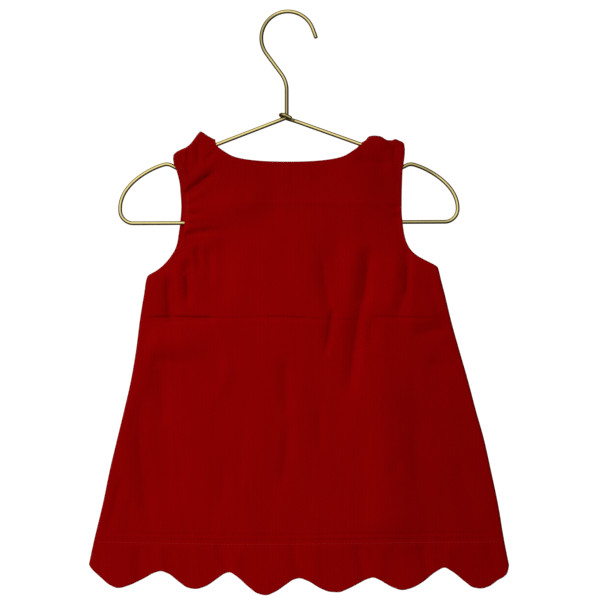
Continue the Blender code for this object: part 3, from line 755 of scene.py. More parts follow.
@dataclass
class ClothPanel:
    """One panel of the dress as a thin shell of cloth.

    Attributes:
        name: The piece's name.
        node: The solid that it stands for.
        side: Which panel it is.
        cut: The outline that both panels share.
        neck_depth: Depth of its neck's scoop.
        folds: Its folds and creases.
        ripples: Its slight unevenness.
        buttoned_to: The panel that its straps fold over onto, if they do.
        belly_share: How full it is, as a share of the cut's fullness.
        hem_rise: How much higher than the cut its hem ends.
        yoke_row, hem_row: Drops between which its rows of points are level.
        peek, peek_drop, peek_spread: How far its left edge stands out, where and over what length.
        tuck: How far its right armhole edge lies in.
        strap_tuck: How much lower its upright straps end.
        set_in: How far its left edge lies in, by the drop.
        close_rows: Where rows lie closer: the drop, how much closer, and over what length.
        edge_rise: How soon folds start beside a side seam.
        free_rise: Distance over which they start beside a free edge.
        turn_columns, turn_width: How wide the turned-in cloth is at armholes and at the neck.
        neck_end: Distance over which the neckline's relief ends at its corners.
        facing_grooves: Height above the facing's stitches, and depth, of each line pressed in there.
    """

    name: str
    node: str
    side: Side
    cut: DressCut
    neck_depth: float
    folds: tuple[Fold, ...]
    ripples: Ripples
    buttoned_to: ClothPanel | None = None
    belly_share: float = 1.0
    hem_rise: float = 0.0
    yoke_row: float = 172.0
    peek: float = 0.0
    peek_drop: float = 196.0
    peek_spread: float = 20.0
    tuck: float = 0.0
    strap_tuck: float = 0.0
    set_in: MeasuredCurve | None = None
    hem_row: float = 464.0
    hem_line: float = 464.8
    hem_line_sag: float = 1.6
    sag_place: float = -30.0
    sag_reach: float = 90.0
    left_strap_share: float = 0.175
    right_strap_share: float = 0.18
    edge_columns: int = 5
    strap_columns: int = 32
    neck_columns: int = 132
    hem_rows: int = 26
    level_rows: int = 150
    yoke_rows: int = 34
    fold_rows: int = 12
    tab_rows: int = 20
    fine_steps: int = 1200
    close_rows: tuple[Triple, ...] = ((267.5, 2.6, 4.5), (461.0, 2.2, 5.5))
    edge_rise: float = 4.5
    free_rise: float = 4.0
    turn_columns: int = 6
    turn_width: float = 8.0
    turned: TurnedEdge = TurnedEdge()
    neck_end: float = 3.0
    facing: TurnedEdge = TurnedEdge(0.28, 0.0, 0.34, 1.3)
    facing_grooves: tuple[tuple[float, float], ...] = ((3.2, 0.3), (7.8, 0.26))
    neck_pucker: Pucker = Pucker(0.10, 6.1, 5.0)
    armhole_pucker: Pucker = Pucker(0.16, 6.6, 8.0)
    left_armhole_pucker: Pucker = Pucker(0.34, 7.4, 10.0)
    hem_pucker: Pucker = Pucker(0.09, 8.3, 6.0)
    tab_turned: TurnedEdge = TurnedEdge(0.22, 3.0, 0.3, 0.9)
    grid: PanelGrid = field(init=False)

    def __post_init__(self) -> None:
        """Work out the panel's points."""
        self.grid = self.lay_out()

    def edge(self, edge: Edge, drop: Array) -> Array:
        """Return where the grid's left or right edge lies, inside its rolled cloth."""
        curve = self.cut.left_edge if edge is Edge.LEFT else self.cut.right_edge
        place = curve.at(drop)
        parting = self.cut.parting(edge, drop)
        if edge is Edge.LEFT:
            place = place - self.peek * bell((drop - self.peek_drop) / self.peek_spread)
            if self.set_in is not None:
                place = place + self.set_in.at(drop)
        else:
            place = place - self.tuck * parting
        return place - edge.value * self.cut.trimmed(curve.slope_at(drop)) * parting

    def inner_edge(self, edge: Edge, drop: Array) -> Array:
        """Return where the panel's flat begins, beside its turned edge."""
        turned = self.cut.side_radius * np.sin(self.cut.flare(edge, drop))
        return self.edge(edge, drop) - edge.value * turned

    def hem_line_at(self, across: Array) -> Array:
        """Return the drop of the row of stitches that holds the hem's facing."""
        return self.hem_line + self.hem_line_sag * bell((across - self.sag_place) / self.sag_reach)

    def sewn_relief(self, across: Array, drop: Array, edges: tuple[Array, Array]) -> Array:
        """Return how far turned edges and stitching lift the cloth, or draw it in.

        Args:
            across: Places across the panel.
            drop: Their drops.
            edges: Where the panel's left and right edges lie at each.
        """
        cut = self.cut
        slope = cut.neck_slope(across, self.neck_depth)
        from_neck = (drop - cut.neck_drop(across, self.neck_depth)) / np.sqrt(1.0 + slope**2)
        by_neck = ease((cut.neck_corner - np.abs(across - cut.neck_centre)) / self.neck_end)
        relief = by_neck * self.turned.height(from_neck)
        relief += by_neck * self.neck_pucker.height_at(from_neck - self.turned.inset, across)
        for edge, place in zip(Edge, edges):
            inside = np.abs(across - place)
            freed = cut.parting(edge, drop)
            relief += freed * self.turned.height(inside)
            drawn = self.left_armhole_pucker if edge is Edge.LEFT else self.armhole_pucker
            relief += freed * drawn.height_at(inside - self.turned.inset, drop)
        above = self.hem_line_at(across) - drop
        relief += self.facing.height(above)
        for height, depth in self.facing_grooves:
            relief -= depth * bell(above - height)
        return relief + self.hem_pucker.height_at(above, across)

    def out_at(self, across: Array, drop: Array, drops: tuple[Array, Array]) -> Array:
        """Return how far the outer face stands from the middle plane.

        Args:
            across: Places across the panel.
            drop: Their drops.
            drops: The drops at which the left and right edges are read.
        """
        left, right = (self.inner_edge(edge, at) for edge, at in zip(Edge, drops))
        place = np.clip((across - left) / (right - left), 0.0, 1.0)
        face = lerp(*(self.cut.edge_face(edge, at) for edge, at in zip(Edge, drops)), place)
        lens = 1.0 - (2.0 * place - 1.0) ** 2
        belly = np.maximum(self.cut.flat_edge, self.cut.belly.at(drop) * self.belly_share)
        swell = lerp(face, belly, lens)
        edges = tuple(self.edge(edge, at) for edge, at in zip(Edge, drops))
        parted = [self.cut.parting(edge, at) for edge, at in zip(Edge, drops)]
        free = [part * ease(np.abs(across - line) / self.free_rise) for part, line in zip(parted, edges)]
        inside = np.maximum(ease(lens * self.edge_rise), np.where(place < 0.5, *free))
        for fold in self.folds:
            swell = swell - fold.depth_at(across, drop) * inside
        swell = swell + self.ripples.height(across, drop) * inside
        held = np.minimum(1.0, inside + np.maximum(*parted))
        return swell + self.sewn_relief(across, drop, edges) * held

    def columns(self) -> tuple[Array, Array]:
        """Return each column's place between the turned edges, and its turn onto one."""
        turns = np.arange(self.edge_columns, 0, -1) / self.edge_columns
        neck_end = 1.0 - self.right_strap_share
        left = np.linspace(0.0, self.left_strap_share, self.strap_columns, endpoint=False)
        neck = np.linspace(self.left_strap_share, neck_end, self.neck_columns, endpoint=False)
        right = np.linspace(neck_end, 1.0, self.strap_columns + 1)
        level = np.concatenate((left, neck, right))
        places = np.concatenate((np.zeros(self.edge_columns), level, np.ones(self.edge_columns)))
        turned = np.concatenate((-turns, np.zeros(len(level)), turns[::-1]))
        return places, turned

    def plan_across(self, drops: tuple[Array, Array]) -> Array:
        """Return where every column lies across, for rows whose edges are read at drops."""
        places, turned = self.columns()
        across = lerp(*(self.inner_edge(edge, at) for edge, at in zip(Edge, drops)), places)
        for edge, at in zip(Edge, drops):
            beyond = np.maximum(0.0, edge.value * turned)
            flare = self.cut.flare(edge, at)
            out = self.cut.side_radius * np.sin(flare * beyond)
            valley = self.cut.seam_valley * (1.0 - self.cut.parting(edge, at)) * (beyond == 1.0)
            across = across + edge.value * (out - valley)
        return across

    def plan(self, drop: Array, drops: tuple[Array, Array]) -> tuple[Array, Array]:
        """Return rows of points and the normals that are held at their side seams.

        Args:
            drop: Rows by columns: each point's drop.
            drops: Rows by one: the drops at which the left and right edges are read.
        """
        turned = self.columns()[1]
        across = self.plan_across(drops)
        out = self.out_at(across, drop, drops)
        facing = self.side.value
        held = np.full(drop.shape + (3,), np.nan)
        for edge, at in zip(Edge, drops):
            beyond = np.maximum(0.0, edge.value * turned)
            angle = self.cut.flare(edge, at) * beyond
            out = out - self.cut.side_radius * (1.0 - np.cos(angle))
            column = 0 if edge is Edge.LEFT else -1
            tip = self.cut.flare(edge, at)[:, 0]
            held[:, column] = together(edge.value * np.sin(tip), facing * np.cos(tip), 0.0)
        return together(across, facing * out, -drop), held

    def tops(self, across: Array) -> Array:
        """Return the drop where each column's upright cloth ends."""
        cut = self.cut
        first = self.edge_columns + self.strap_columns
        index = np.arange(len(across))
        in_neck = (index > first) & (index < first + self.neck_columns)
        slope = cut.neck_slope(across, self.neck_depth)
        neck = cut.neck_drop(across, self.neck_depth) + cut.trimmed(slope)
        return np.where(in_neck, neck, cut.strap_top(across) + cut.rise_at(across) + self.strap_tuck)

    def level_drops(self) -> Array:
        """Return the drops of the level rows, closest where the cloth has fine creases."""
        fine = np.linspace(self.hem_row, self.yoke_row, self.fine_steps)
        closer = (strength * bell((fine - drop) / reach) for drop, strength, reach in self.close_rows)
        weight = 1.0 + sum(closer)
        total = np.concatenate(([0.0], np.cumsum((weight[1:] + weight[:-1]) / 2.0)))
        return np.interp(np.linspace(0.0, total[-1], self.level_rows), total, fine)

    def lay_out(self) -> PanelGrid:
        """Work out the panel's grid, from the hem to the neck and over the straps.

        Returns:
            The finished grid.
        """
        cut = self.cut
        ends = np.array([[HEM[0].drop - self.hem_rise]]), np.array([[HEM[-1].drop - self.hem_rise]])
        hem = cut.hem_drop(self.plan_across(ends), self.hem_rise)
        share = np.linspace(0.0, 1.0, self.hem_rows, endpoint=False)[:, None]
        beside = tuple(lerp(end, self.hem_row, share) for end in ends)
        blocks = [(lerp(hem, self.hem_row, share), beside)]
        level = self.level_drops()[:, None]
        wide = np.zeros((1, len(self.columns()[0])))
        blocks.append((level + wide, (level, level)))
        corners = LEFT_STRAP_TOP[0], RIGHT_STRAP_TOP[-1]
        outer = tuple(np.array([[corner.drop + cut.fold_rise]]) for corner in corners)
        top = self.tops(self.plan_across(outer)[0])
        share = np.linspace(0.0, 1.0, self.yoke_rows + 1)[1:, None]
        beside = tuple(lerp(self.yoke_row, end, share) for end in outer)
        blocks.append((lerp(self.yoke_row, top, share), beside))
        made = [self.plan(drop, drops) for drop, drops in blocks]
        points = np.concatenate([points for points, _ in made])
        held = np.concatenate([held for _, held in made])
        at = [np.concatenate([drops[side] for _, drops in blocks])[:, 0] for side in (0, 1)]
        freedom = np.ones(points.shape[:2])
        freedom[:, 0] = cut.parting(Edge.LEFT, at[0])
        freedom[:, -1] = cut.parting(Edge.RIGHT, at[1])
        if self.buttoned_to is not None:
            straps = self.lay_straps(points[-1])
            points = np.concatenate((points, straps))
            held = np.concatenate((held, np.full(straps.shape, np.nan)))
            freedom = np.concatenate((freedom, np.ones(straps.shape[:2])))
        return PanelGrid(points, freedom, held, self.side.value)

    def strap_ranges(self) -> dict[Edge, slice]:
        """Return the columns of each strap."""
        count = len(self.columns()[0])
        wide = self.edge_columns + self.strap_columns + 1
        return {Edge.LEFT: slice(0, wide), Edge.RIGHT: slice(count - wide, count)}

    def lay_straps(self, top: Array) -> Array:
        """Return the rows that carry the straps over the shoulder and down as tabs.

        Args:
            top: The last row of upright cloth.
        """
        cut = self.cut
        rows = np.full((self.fold_rows + self.tab_rows,) + top.shape, np.nan)
        for edge, columns in self.strap_ranges().items():
            across, out, height = top[columns].T
            face = self.tab_face(across, -height)
            centre, reach = (face + out) / 2.0, (face - out) / 2.0
            angle = (np.pi * np.arange(1, self.fold_rows + 1) / self.fold_rows)[:, None]
            rows[: self.fold_rows, columns] = together(
                across, centre - reach * np.cos(angle), height + cut.rise_at(across) * np.sin(angle)
            )
            middle, half = (across[0] + across[-1]) / 2.0, (across[-1] - across[0]) / 2.0
            corner = cut.tab_corner * ((across - middle) / half) ** 4
            end = cut.tab_end(edge) - cut.roll - corner
            share = (np.arange(1, self.tab_rows + 1) / self.tab_rows)[:, None]
            drop = lerp(-height, end, share)
            narrow = self.tab_across(across, drop, share, edge)
            face = self.tab_face(narrow, drop)
            beside = np.minimum(narrow - narrow[:, :1], narrow[:, -1:] - narrow)
            inside = np.minimum(beside, end - drop)
            face = face + self.tab_turned.height(inside) * ease(share * 4.0)
            rows[self.fold_rows :, columns] = together(narrow, face, -drop)
        return rows

    def tab_face(self, across: Array, drop: Array) -> Array:
        """Return how far the outside of a tab stands out where it lies on the other panel."""
        under = self.buttoned_to.out_at(across, drop, (drop, drop))
        return under + self.cut.tab_gap + self.cut.wall

    def tab_across(self, across: Array, drop: Array, share: Array, edge: Edge) -> Array:
        """Return where a tab's points lie: in from the armhole, and slightly tapered.

        Args:
            across: Places across the strap's fold.
            drop: The tab's drops.
            share: Shares of the way down the tab.
            edge: Which strap it is.
        """
        sign = edge.value
        inner, outer = sorted((sign * across[0], sign * across[-1]))
        from_inner = (sign * across - inner) / (outer - inner)
        limit = sign * self.buttoned_to.edge(edge, drop) - self.cut.tab_inset * share
        new_outer = np.minimum(outer, limit)
        new_inner = lerp(inner, outer, self.cut.tab_taper * share)
        return sign * lerp(new_inner, new_outer, from_inner)

    def turned_cells(self) -> Array:
        """Tell which cells have the right side of turned-in cloth on their inside."""
        cells, columns = self.grid.cells(), self.grid.points.shape[1]
        column = cells.min(axis=1) % columns
        middle = self.grid.points.reshape(-1, 3)[cells].mean(axis=1)
        drop = -middle[:, 2]
        beside = np.minimum(column, columns - 2 - column) < self.edge_columns + self.turn_columns
        armpit = np.where(middle[:, 0] < 0.0, self.cut.armpit_left, self.cut.armpit_right)
        by_neck = drop < self.cut.neck_drop(middle[:, 0], self.neck_depth) + self.turn_width
        return (beside & (drop < armpit)) | by_neck | (drop > self.hem_line_at(middle[:, 0]))

    def build(self, outside: Material, inside: Material) -> Piece:
        """Make the shell: outer face, inner face and the rolled edges between them.

        Args:
            outside: Material of the ribbed face and the edges.
            inside: Material of the wrong side.

        Returns:
            The panel, riding on the part's body.
        """
        outer = self.grid.points.reshape(-1, 3)
        normals = self.grid.normals().reshape(-1, 3)
        used = ~np.isnan(outer[:, 0])
        renumber = np.cumsum(used) - 1
        cells = renumber[self.grid.cells()]
        loop = np.array(self.grid.border())
        start, end = np.roll(loop, 1), np.roll(loop, -1)
        along = outer[end] - outer[start]
        away = unit(np.cross(along, normals[loop]))
        wall, roll = self.cut.wall, self.cut.roll
        centre = outer[loop] - normals[loop] * roll
        free = self.grid.freedom.reshape(-1)[loop][:, None]
        rings = []
        for angle in np.radians((45.0, 90.0, 135.0)):
            bulge = away * roll * math.sin(angle) * free
            rings.append(centre + normals[loop] * roll * math.cos(angle) + bulge)
        face = outer[used]
        back = face - normals[used] * wall
        points = np.concatenate([face, back] + rings)
        count, length = len(face), len(loop)
        chains = [renumber[loop]]
        chains += [2 * count + step * length + np.arange(length) for step in range(3)]
        chains.append(count + renumber[loop])
        rims = []
        for near, far in zip(chains, chains[1:]):
            rims.append(together(np.roll(near, -1), near, far, np.roll(far, -1)))
        faces = np.concatenate([cells, cells[:, ::-1] + count] + rims)
        indexes = np.zeros(len(faces), dtype=np.int32)
        indexes[len(cells) : 2 * len(cells)] = ~self.turned_cells()
        made = add_object(self.name, points, faces.tolist(), [outside, inside], indexes)
        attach(made, "root")
        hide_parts(self.node)
        return made


def swept_tube(route: Array, radii: Array, sides: int) -> tuple[Array, Array]:
    """Return the points and four-sided faces of a tube along a route.

    Args:
        route: Points of its centreline.
        radii: Its radius at each of them; its ends stay open, so it is nearly nothing there.
        sides: How many sides it has around.

    Returns:
        The points, ring by ring, and the faces.
    """
    heading = unit(np.gradient(route, axis=0))
    across = np.cross(heading[0], (0.0, 1.0, 0.0))
    rings = []
    around = angles_round(sides)
    for point, ahead, radius in zip(route, heading, radii):
        across = across - ahead * np.dot(across, ahead)
        across /= np.linalg.norm(across)
        other = np.cross(ahead, across)
        ring = np.outer(np.cos(around), across) + np.outer(np.sin(around), other)
        rings.append(point + radius * ring)
    index = np.arange(len(route) * sides).reshape(len(route), sides)
    after = np.roll(index, -1, axis=1)
    faces = together(index[:-1], after[:-1], after[1:], index[1:])
    return np.concatenate(rings), faces.reshape(-1, 4)


@dataclass
class WireHanger:
    """One length of wire from the hook's tip, round the frame, to a turn round its own neck.

    Lengths are from the frame's centre out, and heights are drops below the origin.

    Attributes:
        end_round: How far a cut end is rounded, of the wire's radius.
        tip_share: Share of the radius that is left at the very end.
        ring_step, ring_gap: The least distance between rings on a rounded end, and after it.
        closest: Points of the route that are closer than this are one.
    """

    radius: float = 1.8
    sides: int = 18
    end_round: float = 1.4
    tip_share: float = 0.02
    ring_step: float = 0.002
    ring_gap: float = 0.2
    closest: float = 0.05
    hook_radius: float = 23.4
    hook_start: float = 20.0
    hook_end: float = 216.4
    tip_run: float = 9.0
    shank_across: float = -1.06
    shank_bend: float = 24.0
    neck: float = 91.6
    right_neck: float = 91.9
    neck_bend: float = 4.0
    centre: float = 0.9
    left_slope: float = 0.386
    right_slope: float = 0.357
    left_bar: float = 184.6
    right_bar: float = 183.3
    arm_end: float = 82.7
    arm_bend: float = 5.0
    notch: Mark = Mark(92.8, 139.0)
    notch_bend: float = 4.0
    hump: Mark = Mark(106.5, 132.1)
    hump_bend: float = 9.0
    end: Mark = Mark(148.5, 171.4)
    end_pull: tuple[Mark, Mark] = (Mark(121.4, 136.0), Mark(148.5, 150.0))
    foot_radius: float = 11.5
    turn_across: float = 1.84
    turn_gap: float = 0.3
    turn_run: float = 13.0
    turn_low: float = -0.2
    turn_high: float = 1.7
    turn_lead: float = 1.15
    tail: float = 6.4
    tail_lift: float = 0.5

    @staticmethod
    def arc(centre: Array, radius: float, start: float, end: float, step: float = 4.0) -> Array:
        """Return plane points on an arc.

        Args:
            centre: Its centre.
            radius: Its radius.
            start: Its first angle, in degrees.
            end: Its last angle.
            step: The largest turn from point to point.
        """
        count = max(4, math.ceil(abs(end - start) / step))
        angles = np.radians(np.linspace(start, end, count + 1))
        return centre + radius * together(np.cos(angles), np.sin(angles))

    @classmethod
    def rounded(cls, before: Array, corner: Array, after: Array, radius: float) -> Array:
        """Return the plane points of a bend at a corner between two others."""
        into, onward = before - corner, after - corner
        into, onward = into / np.linalg.norm(into), onward / np.linalg.norm(onward)
        half_turn = math.acos(float(np.clip(np.dot(into, onward), -1.0, 1.0))) / 2.0
        middle = (into + onward) / np.linalg.norm(into + onward)
        centre = corner + middle * radius / math.sin(half_turn)
        start = corner + into * radius / math.tan(half_turn) - centre
        end = corner + onward * radius / math.tan(half_turn) - centre
        first = math.degrees(math.atan2(start[1], start[0]))
        last = math.degrees(math.atan2(end[1], end[0]))
        swing = (last - first + 180.0) % 360.0 - 180.0
        return cls.arc(centre, radius, first, first + swing)

    def half(self, side: int, slope: float, neck: float, bar: float) -> Array:
        """Return one side of the frame, from the arm's end to the bottom bar.

        Args:
            side: −1 for the left one, 1 for the right one.
            slope: How fast the arm falls.
            neck: Drop at which the arm leaves the shank.
            bar: Drop of the bottom bar.
        """

        def at(out: float, drop: float) -> Array:
            """Return the plane point at a reach and a drop."""
            return np.array((self.centre + side * out, -drop))

        arm_drop = neck + slope * (self.arm_end + side * (self.centre - self.shank_across))
        start, arm_end = np.array((self.shank_across, -neck)), at(self.arm_end, arm_drop)
        notch, hump = at(self.notch.across, self.notch.drop), at(self.hump.across, self.hump.drop)
        pulls = [at(mark.across, mark.drop) for mark in self.end_pull]
        bends = [
            self.rounded(start, arm_end, notch, self.arm_bend),
            self.rounded(arm_end, notch, hump, self.notch_bend),
            self.rounded(notch, hump, pulls[0], self.hump_bend),
        ]
        share = np.linspace(0.0, 1.0, 29)[1:, None]
        rest = 1.0 - share
        shoulder = (
            rest**3 * bends[-1][-1]
            + 3.0 * rest**2 * share * pulls[0]
            + 3.0 * rest * share**2 * pulls[1]
            + share**3 * at(self.end.across, self.end.drop)
        )
        foot = at(self.end.across - self.foot_radius, bar - self.foot_radius)
        level = 0.0 if side > 0 else 180.0
        return np.concatenate(
            bends + [shoulder, self.arc(foot, self.foot_radius, level, level - side * 90.0, 6.0)]
        )

    def neck_turn(self) -> Array:
        """Return the wire's end: behind the neck, once round it, and cut off in front."""
        lean = math.atan(self.right_slope)
        reach = 2.0 * self.radius + self.turn_gap
        share = np.linspace(0.0, 1.0, 14)[:-1]
        run = together(
            self.turn_run * (1.0 - share), reach * ease(share * self.turn_lead), self.turn_low * share
        )
        share = np.linspace(0.0, 1.0, 31)
        rise = lerp(self.turn_low, self.turn_high, share)
        turn = together(-reach * np.sin(np.pi * share), reach * np.cos(np.pi * share), rise)
        share = np.linspace(0.0, 1.0, 9)[1:]
        sinking = lerp(self.turn_high, self.turn_high / 2.0, share)
        tail = together(self.tail * share, self.tail_lift * share - reach, sinking)
        along, out, up = np.concatenate((run, turn, tail)).T
        across = self.shank_across - self.turn_across
        drop = self.right_neck - self.right_slope * self.turn_across
        return together(
            across + along * math.cos(lean) + up * math.sin(lean),
            out,
            up * math.cos(lean) - along * math.sin(lean) - drop,
        )

    def route(self) -> Array:
        """Return the centreline of the whole wire."""
        centre = np.array((0.0, self.radius - self.hook_radius))
        hook = self.arc(centre, self.hook_radius, self.hook_start, self.hook_end, 3.5)
        lean = math.radians(self.hook_start)
        tip = hook[0] + self.tip_run * np.array((math.sin(lean), -math.cos(lean)))
        leaving = math.radians(self.hook_end)
        run = (self.shank_across - hook[-1][0]) / -math.sin(leaving)
        elbow = np.array((self.shank_across, hook[-1][1] + run * math.cos(leaving)))
        neck = np.array((self.shank_across, -self.neck))
        far = neck - self.arm_end * np.array((1.0, self.left_slope))
        left = self.half(-1, self.left_slope, self.neck, self.left_bar)
        right = self.half(1, self.right_slope, self.right_neck, self.right_bar)
        shank = self.rounded(hook[-1], elbow, neck, self.shank_bend)
        bend = self.rounded(elbow, neck, far, self.neck_bend)
        plane = np.concatenate(([tip], hook, shank, bend, left, right[::-1]))
        return np.concatenate((together(plane[:, 0], 0.0, plane[:, 1]), self.neck_turn()))

    def build(self, finish: Material) -> Piece:
        """Make the wire with slightly rounded cut ends.

        Args:
            finish: Its material.

        Returns:
            The hanger, riding on the part's body.
        """
        route = self.route()
        apart = np.linalg.norm(np.diff(route, axis=0), axis=1)
        route = route[np.concatenate(([True], apart > self.closest))]
        turn = np.radians((0.0, 0.0, 25.0, 45.0, 65.0, 90.0))
        swell = 1.0 - self.end_round / self.radius * (1.0 - np.sin(turn))
        swell[0] = self.tip_share
        setback = self.end_round * (1.0 - np.cos(turn)) + self.ring_step * np.arange(len(turn))
        tips = (route[0], route[1]), (route[-1], route[-2])
        first, last = (tip + setback[:, None] * unit(near - tip) for tip, near in tips)
        from_tips = np.minimum(*(np.linalg.norm(route - tip, axis=1) for tip, _ in tips))
        middle = route[from_tips > self.end_round + self.ring_gap]
        whole = np.concatenate((first, middle, last[::-1]))
        radii = np.full(len(whole), self.radius)
        radii[: len(turn)] = self.radius * swell
        radii[-len(turn) :] = self.radius * swell[::-1]
        points, faces = swept_tube(whole, radii, self.sides)
        made = add_object("wire_hanger", points, faces.tolist(), [finish], np.zeros(len(faces)))
        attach(made, "root")
        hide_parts("hanger")
        return made


@dataclass
class Button:
    """A small four-hole button with a raised rim and a dished middle, sewn on with thread."""

    radius: float = 6.0
    thick: float = 2.6
    back_bevel: float = 0.7
    rim: float = 1.2
    dish: float = 0.8
    hole_radius: float = 0.75
    hole_reach: float = 1.25
    lip_width: float = 0.12
    lip_depth: float = 0.15
    sides: int = 64
    hole_sides: int = 16

    def profile(self) -> Array:
        """Return the turned outline as radius and height, from the back to the dish's edge."""
        back = [(self.radius - self.back_bevel, 0.0), (self.radius - 0.2, 0.3)]
        angles = np.radians(np.linspace(-10.0, 90.0, 8))
        crown = self.rim / 2.0
        side = [
            (self.radius - crown + crown * math.cos(a), self.thick - crown + crown * math.sin(a))
            for a in angles
        ]
        share = np.linspace(0.0, 1.0, 8)[1:]
        inner = self.radius - self.rim
        slope = [
            (inner - 0.9 * s + 0.3 * (1.0 - s), self.thick - self.dish * float(ease(s))) for s in share
        ]
        return np.array(back + side + slope)

    def build(self, name: str, node: str, finish: Material) -> Piece:
        """Make the button where its solid stands.

        Args:
            name: The piece's name.
            node: The solid that it stands for.
            finish: Its material.

        Returns:
            The button, riding on the part's body.
        """
        low, high = (Vector(corner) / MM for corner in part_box(node))
        middle = (low + high) / 2.0
        mesh = bmesh.new()

        def ring(radius: float, out: float, count: int, across: float = 0.0, up: float = 0.0) -> list:
            """Add a ring of points and return them."""
            made = []
            for angle in angles_round(count):
                x = middle.x + across + radius * math.cos(angle)
                made.append(mesh.verts.new((x, low.y + out, middle.z + up + radius * math.sin(angle))))
            return made

        def bridge(near: list, far: list) -> None:
            """Join two rings with four-sided faces."""
            for index, point in enumerate(near):
                after = (index + 1) % len(near)
                mesh.faces.new((point, near[after], far[after], far[index]))

        rings = [ring(radius, out, self.sides) for radius, out in self.profile()]
        for near, far in zip(rings, rings[1:]):
            bridge(near, far)
        floor = self.thick - self.dish
        throat_radius = self.hole_radius - self.lip_width
        tops, bottoms = [], []
        for across in (-1, 1):
            for up in (-1, 1):
                place = self.hole_sides, across * self.hole_reach, up * self.hole_reach
                lip = ring(self.hole_radius, floor, *place)
                throat = ring(throat_radius, floor - self.lip_depth, *place)
                foot = ring(throat_radius, 0.0, *place)
                bridge(throat, lip)
                bridge(foot, throat)
                tops.append(lip)
                bottoms.append(foot)
        self.fill_between(mesh, rings[-1], tops)
        self.fill_between(mesh, rings[0], bottoms)
        bmesh.ops.recalc_face_normals(mesh, faces=mesh.faces)
        points = np.array([vertex.co for vertex in mesh.verts])
        mesh.verts.index_update()
        faces = [[vertex.index for vertex in face.verts] for face in mesh.faces]
        mesh.free()
        made = add_object(name, points, faces, [finish], np.zeros(len(faces)))
        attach(made, "root")
        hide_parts(node)
        return made

    @staticmethod
    def fill_between(mesh: bmesh.types.BMesh, outer: list, holes: list) -> None:
        """Fill a flat face that has round holes in it."""
        edges = []
        for loop in [outer] + holes:
            for index, point in enumerate(loop):
                pair = point, loop[(index + 1) % len(loop)]
                edges.append(mesh.edges.get(pair) or mesh.edges.new(pair))
        bmesh.ops.triangle_fill(mesh, use_beauty=True, edges=edges)


@dataclass
class Strands:
    """Many short lengths of thread as one piece, each arched with its ends sunk.

    Attributes:
        radius: Of the thread.
        sink: How far each end goes under the surface.
        rise: How far each middle stands above it.
        sides: How many sides a thread has around.
    """

    radius: float = 0.23
    sink: float = 0.22
    rise: float = 0.1
    sides: int = 6

    def build(self, name: str, centres: Array, along: Array, up: Array, finish: Material,
              slot: str = "corduroy") -> Piece:
        """Make the threads.

        Args:
            name: The piece's name.
            centres: The middle of each thread.
            along: From each middle to its end.
            up: Unit vectors away from the surface.
            finish: Their material.
            slot: A colour slot for the threads; not used.

        Returns:
            The piece, riding on the part's body.
        """
        share = np.array((-1.0, -0.82, -0.4, 0.0, 0.4, 0.82, 1.0))
        thickness = np.array((0.2, 0.75, 1.0, 1.0, 1.0, 0.75, 0.2)) * self.radius
        arch = self.rise - (self.rise + self.sink) * share**4
        beside = unit(np.cross(along, up))
        around = angles_round(self.sides)
        spine = centres[:, None] + along[:, None] * share[:, None] + up[:, None] * arch[:, None]
        out = (
            beside[:, None, None] * np.cos(around)[:, None]
            + up[:, None, None] * np.sin(around)[:, None]
        )
        points = spine[:, :, None] + out * thickness[:, None, None]
        index = np.arange(points.shape[0] * points.shape[1] * self.sides).reshape(points.shape[:3])
        after = np.roll(index, -1, axis=2)
        quads = together(index[:, :-1], after[:, :-1], after[:, 1:], index[:, 1:])
        caps = np.concatenate((index[:, 0, ::-1], index[:, -1]))
        faces = quads.reshape(-1, 4).tolist() + caps.tolist()
        made = add_object(name, points.reshape(-1, 3), faces, [finish], np.zeros(len(faces)))
        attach(made, "root")
        return made


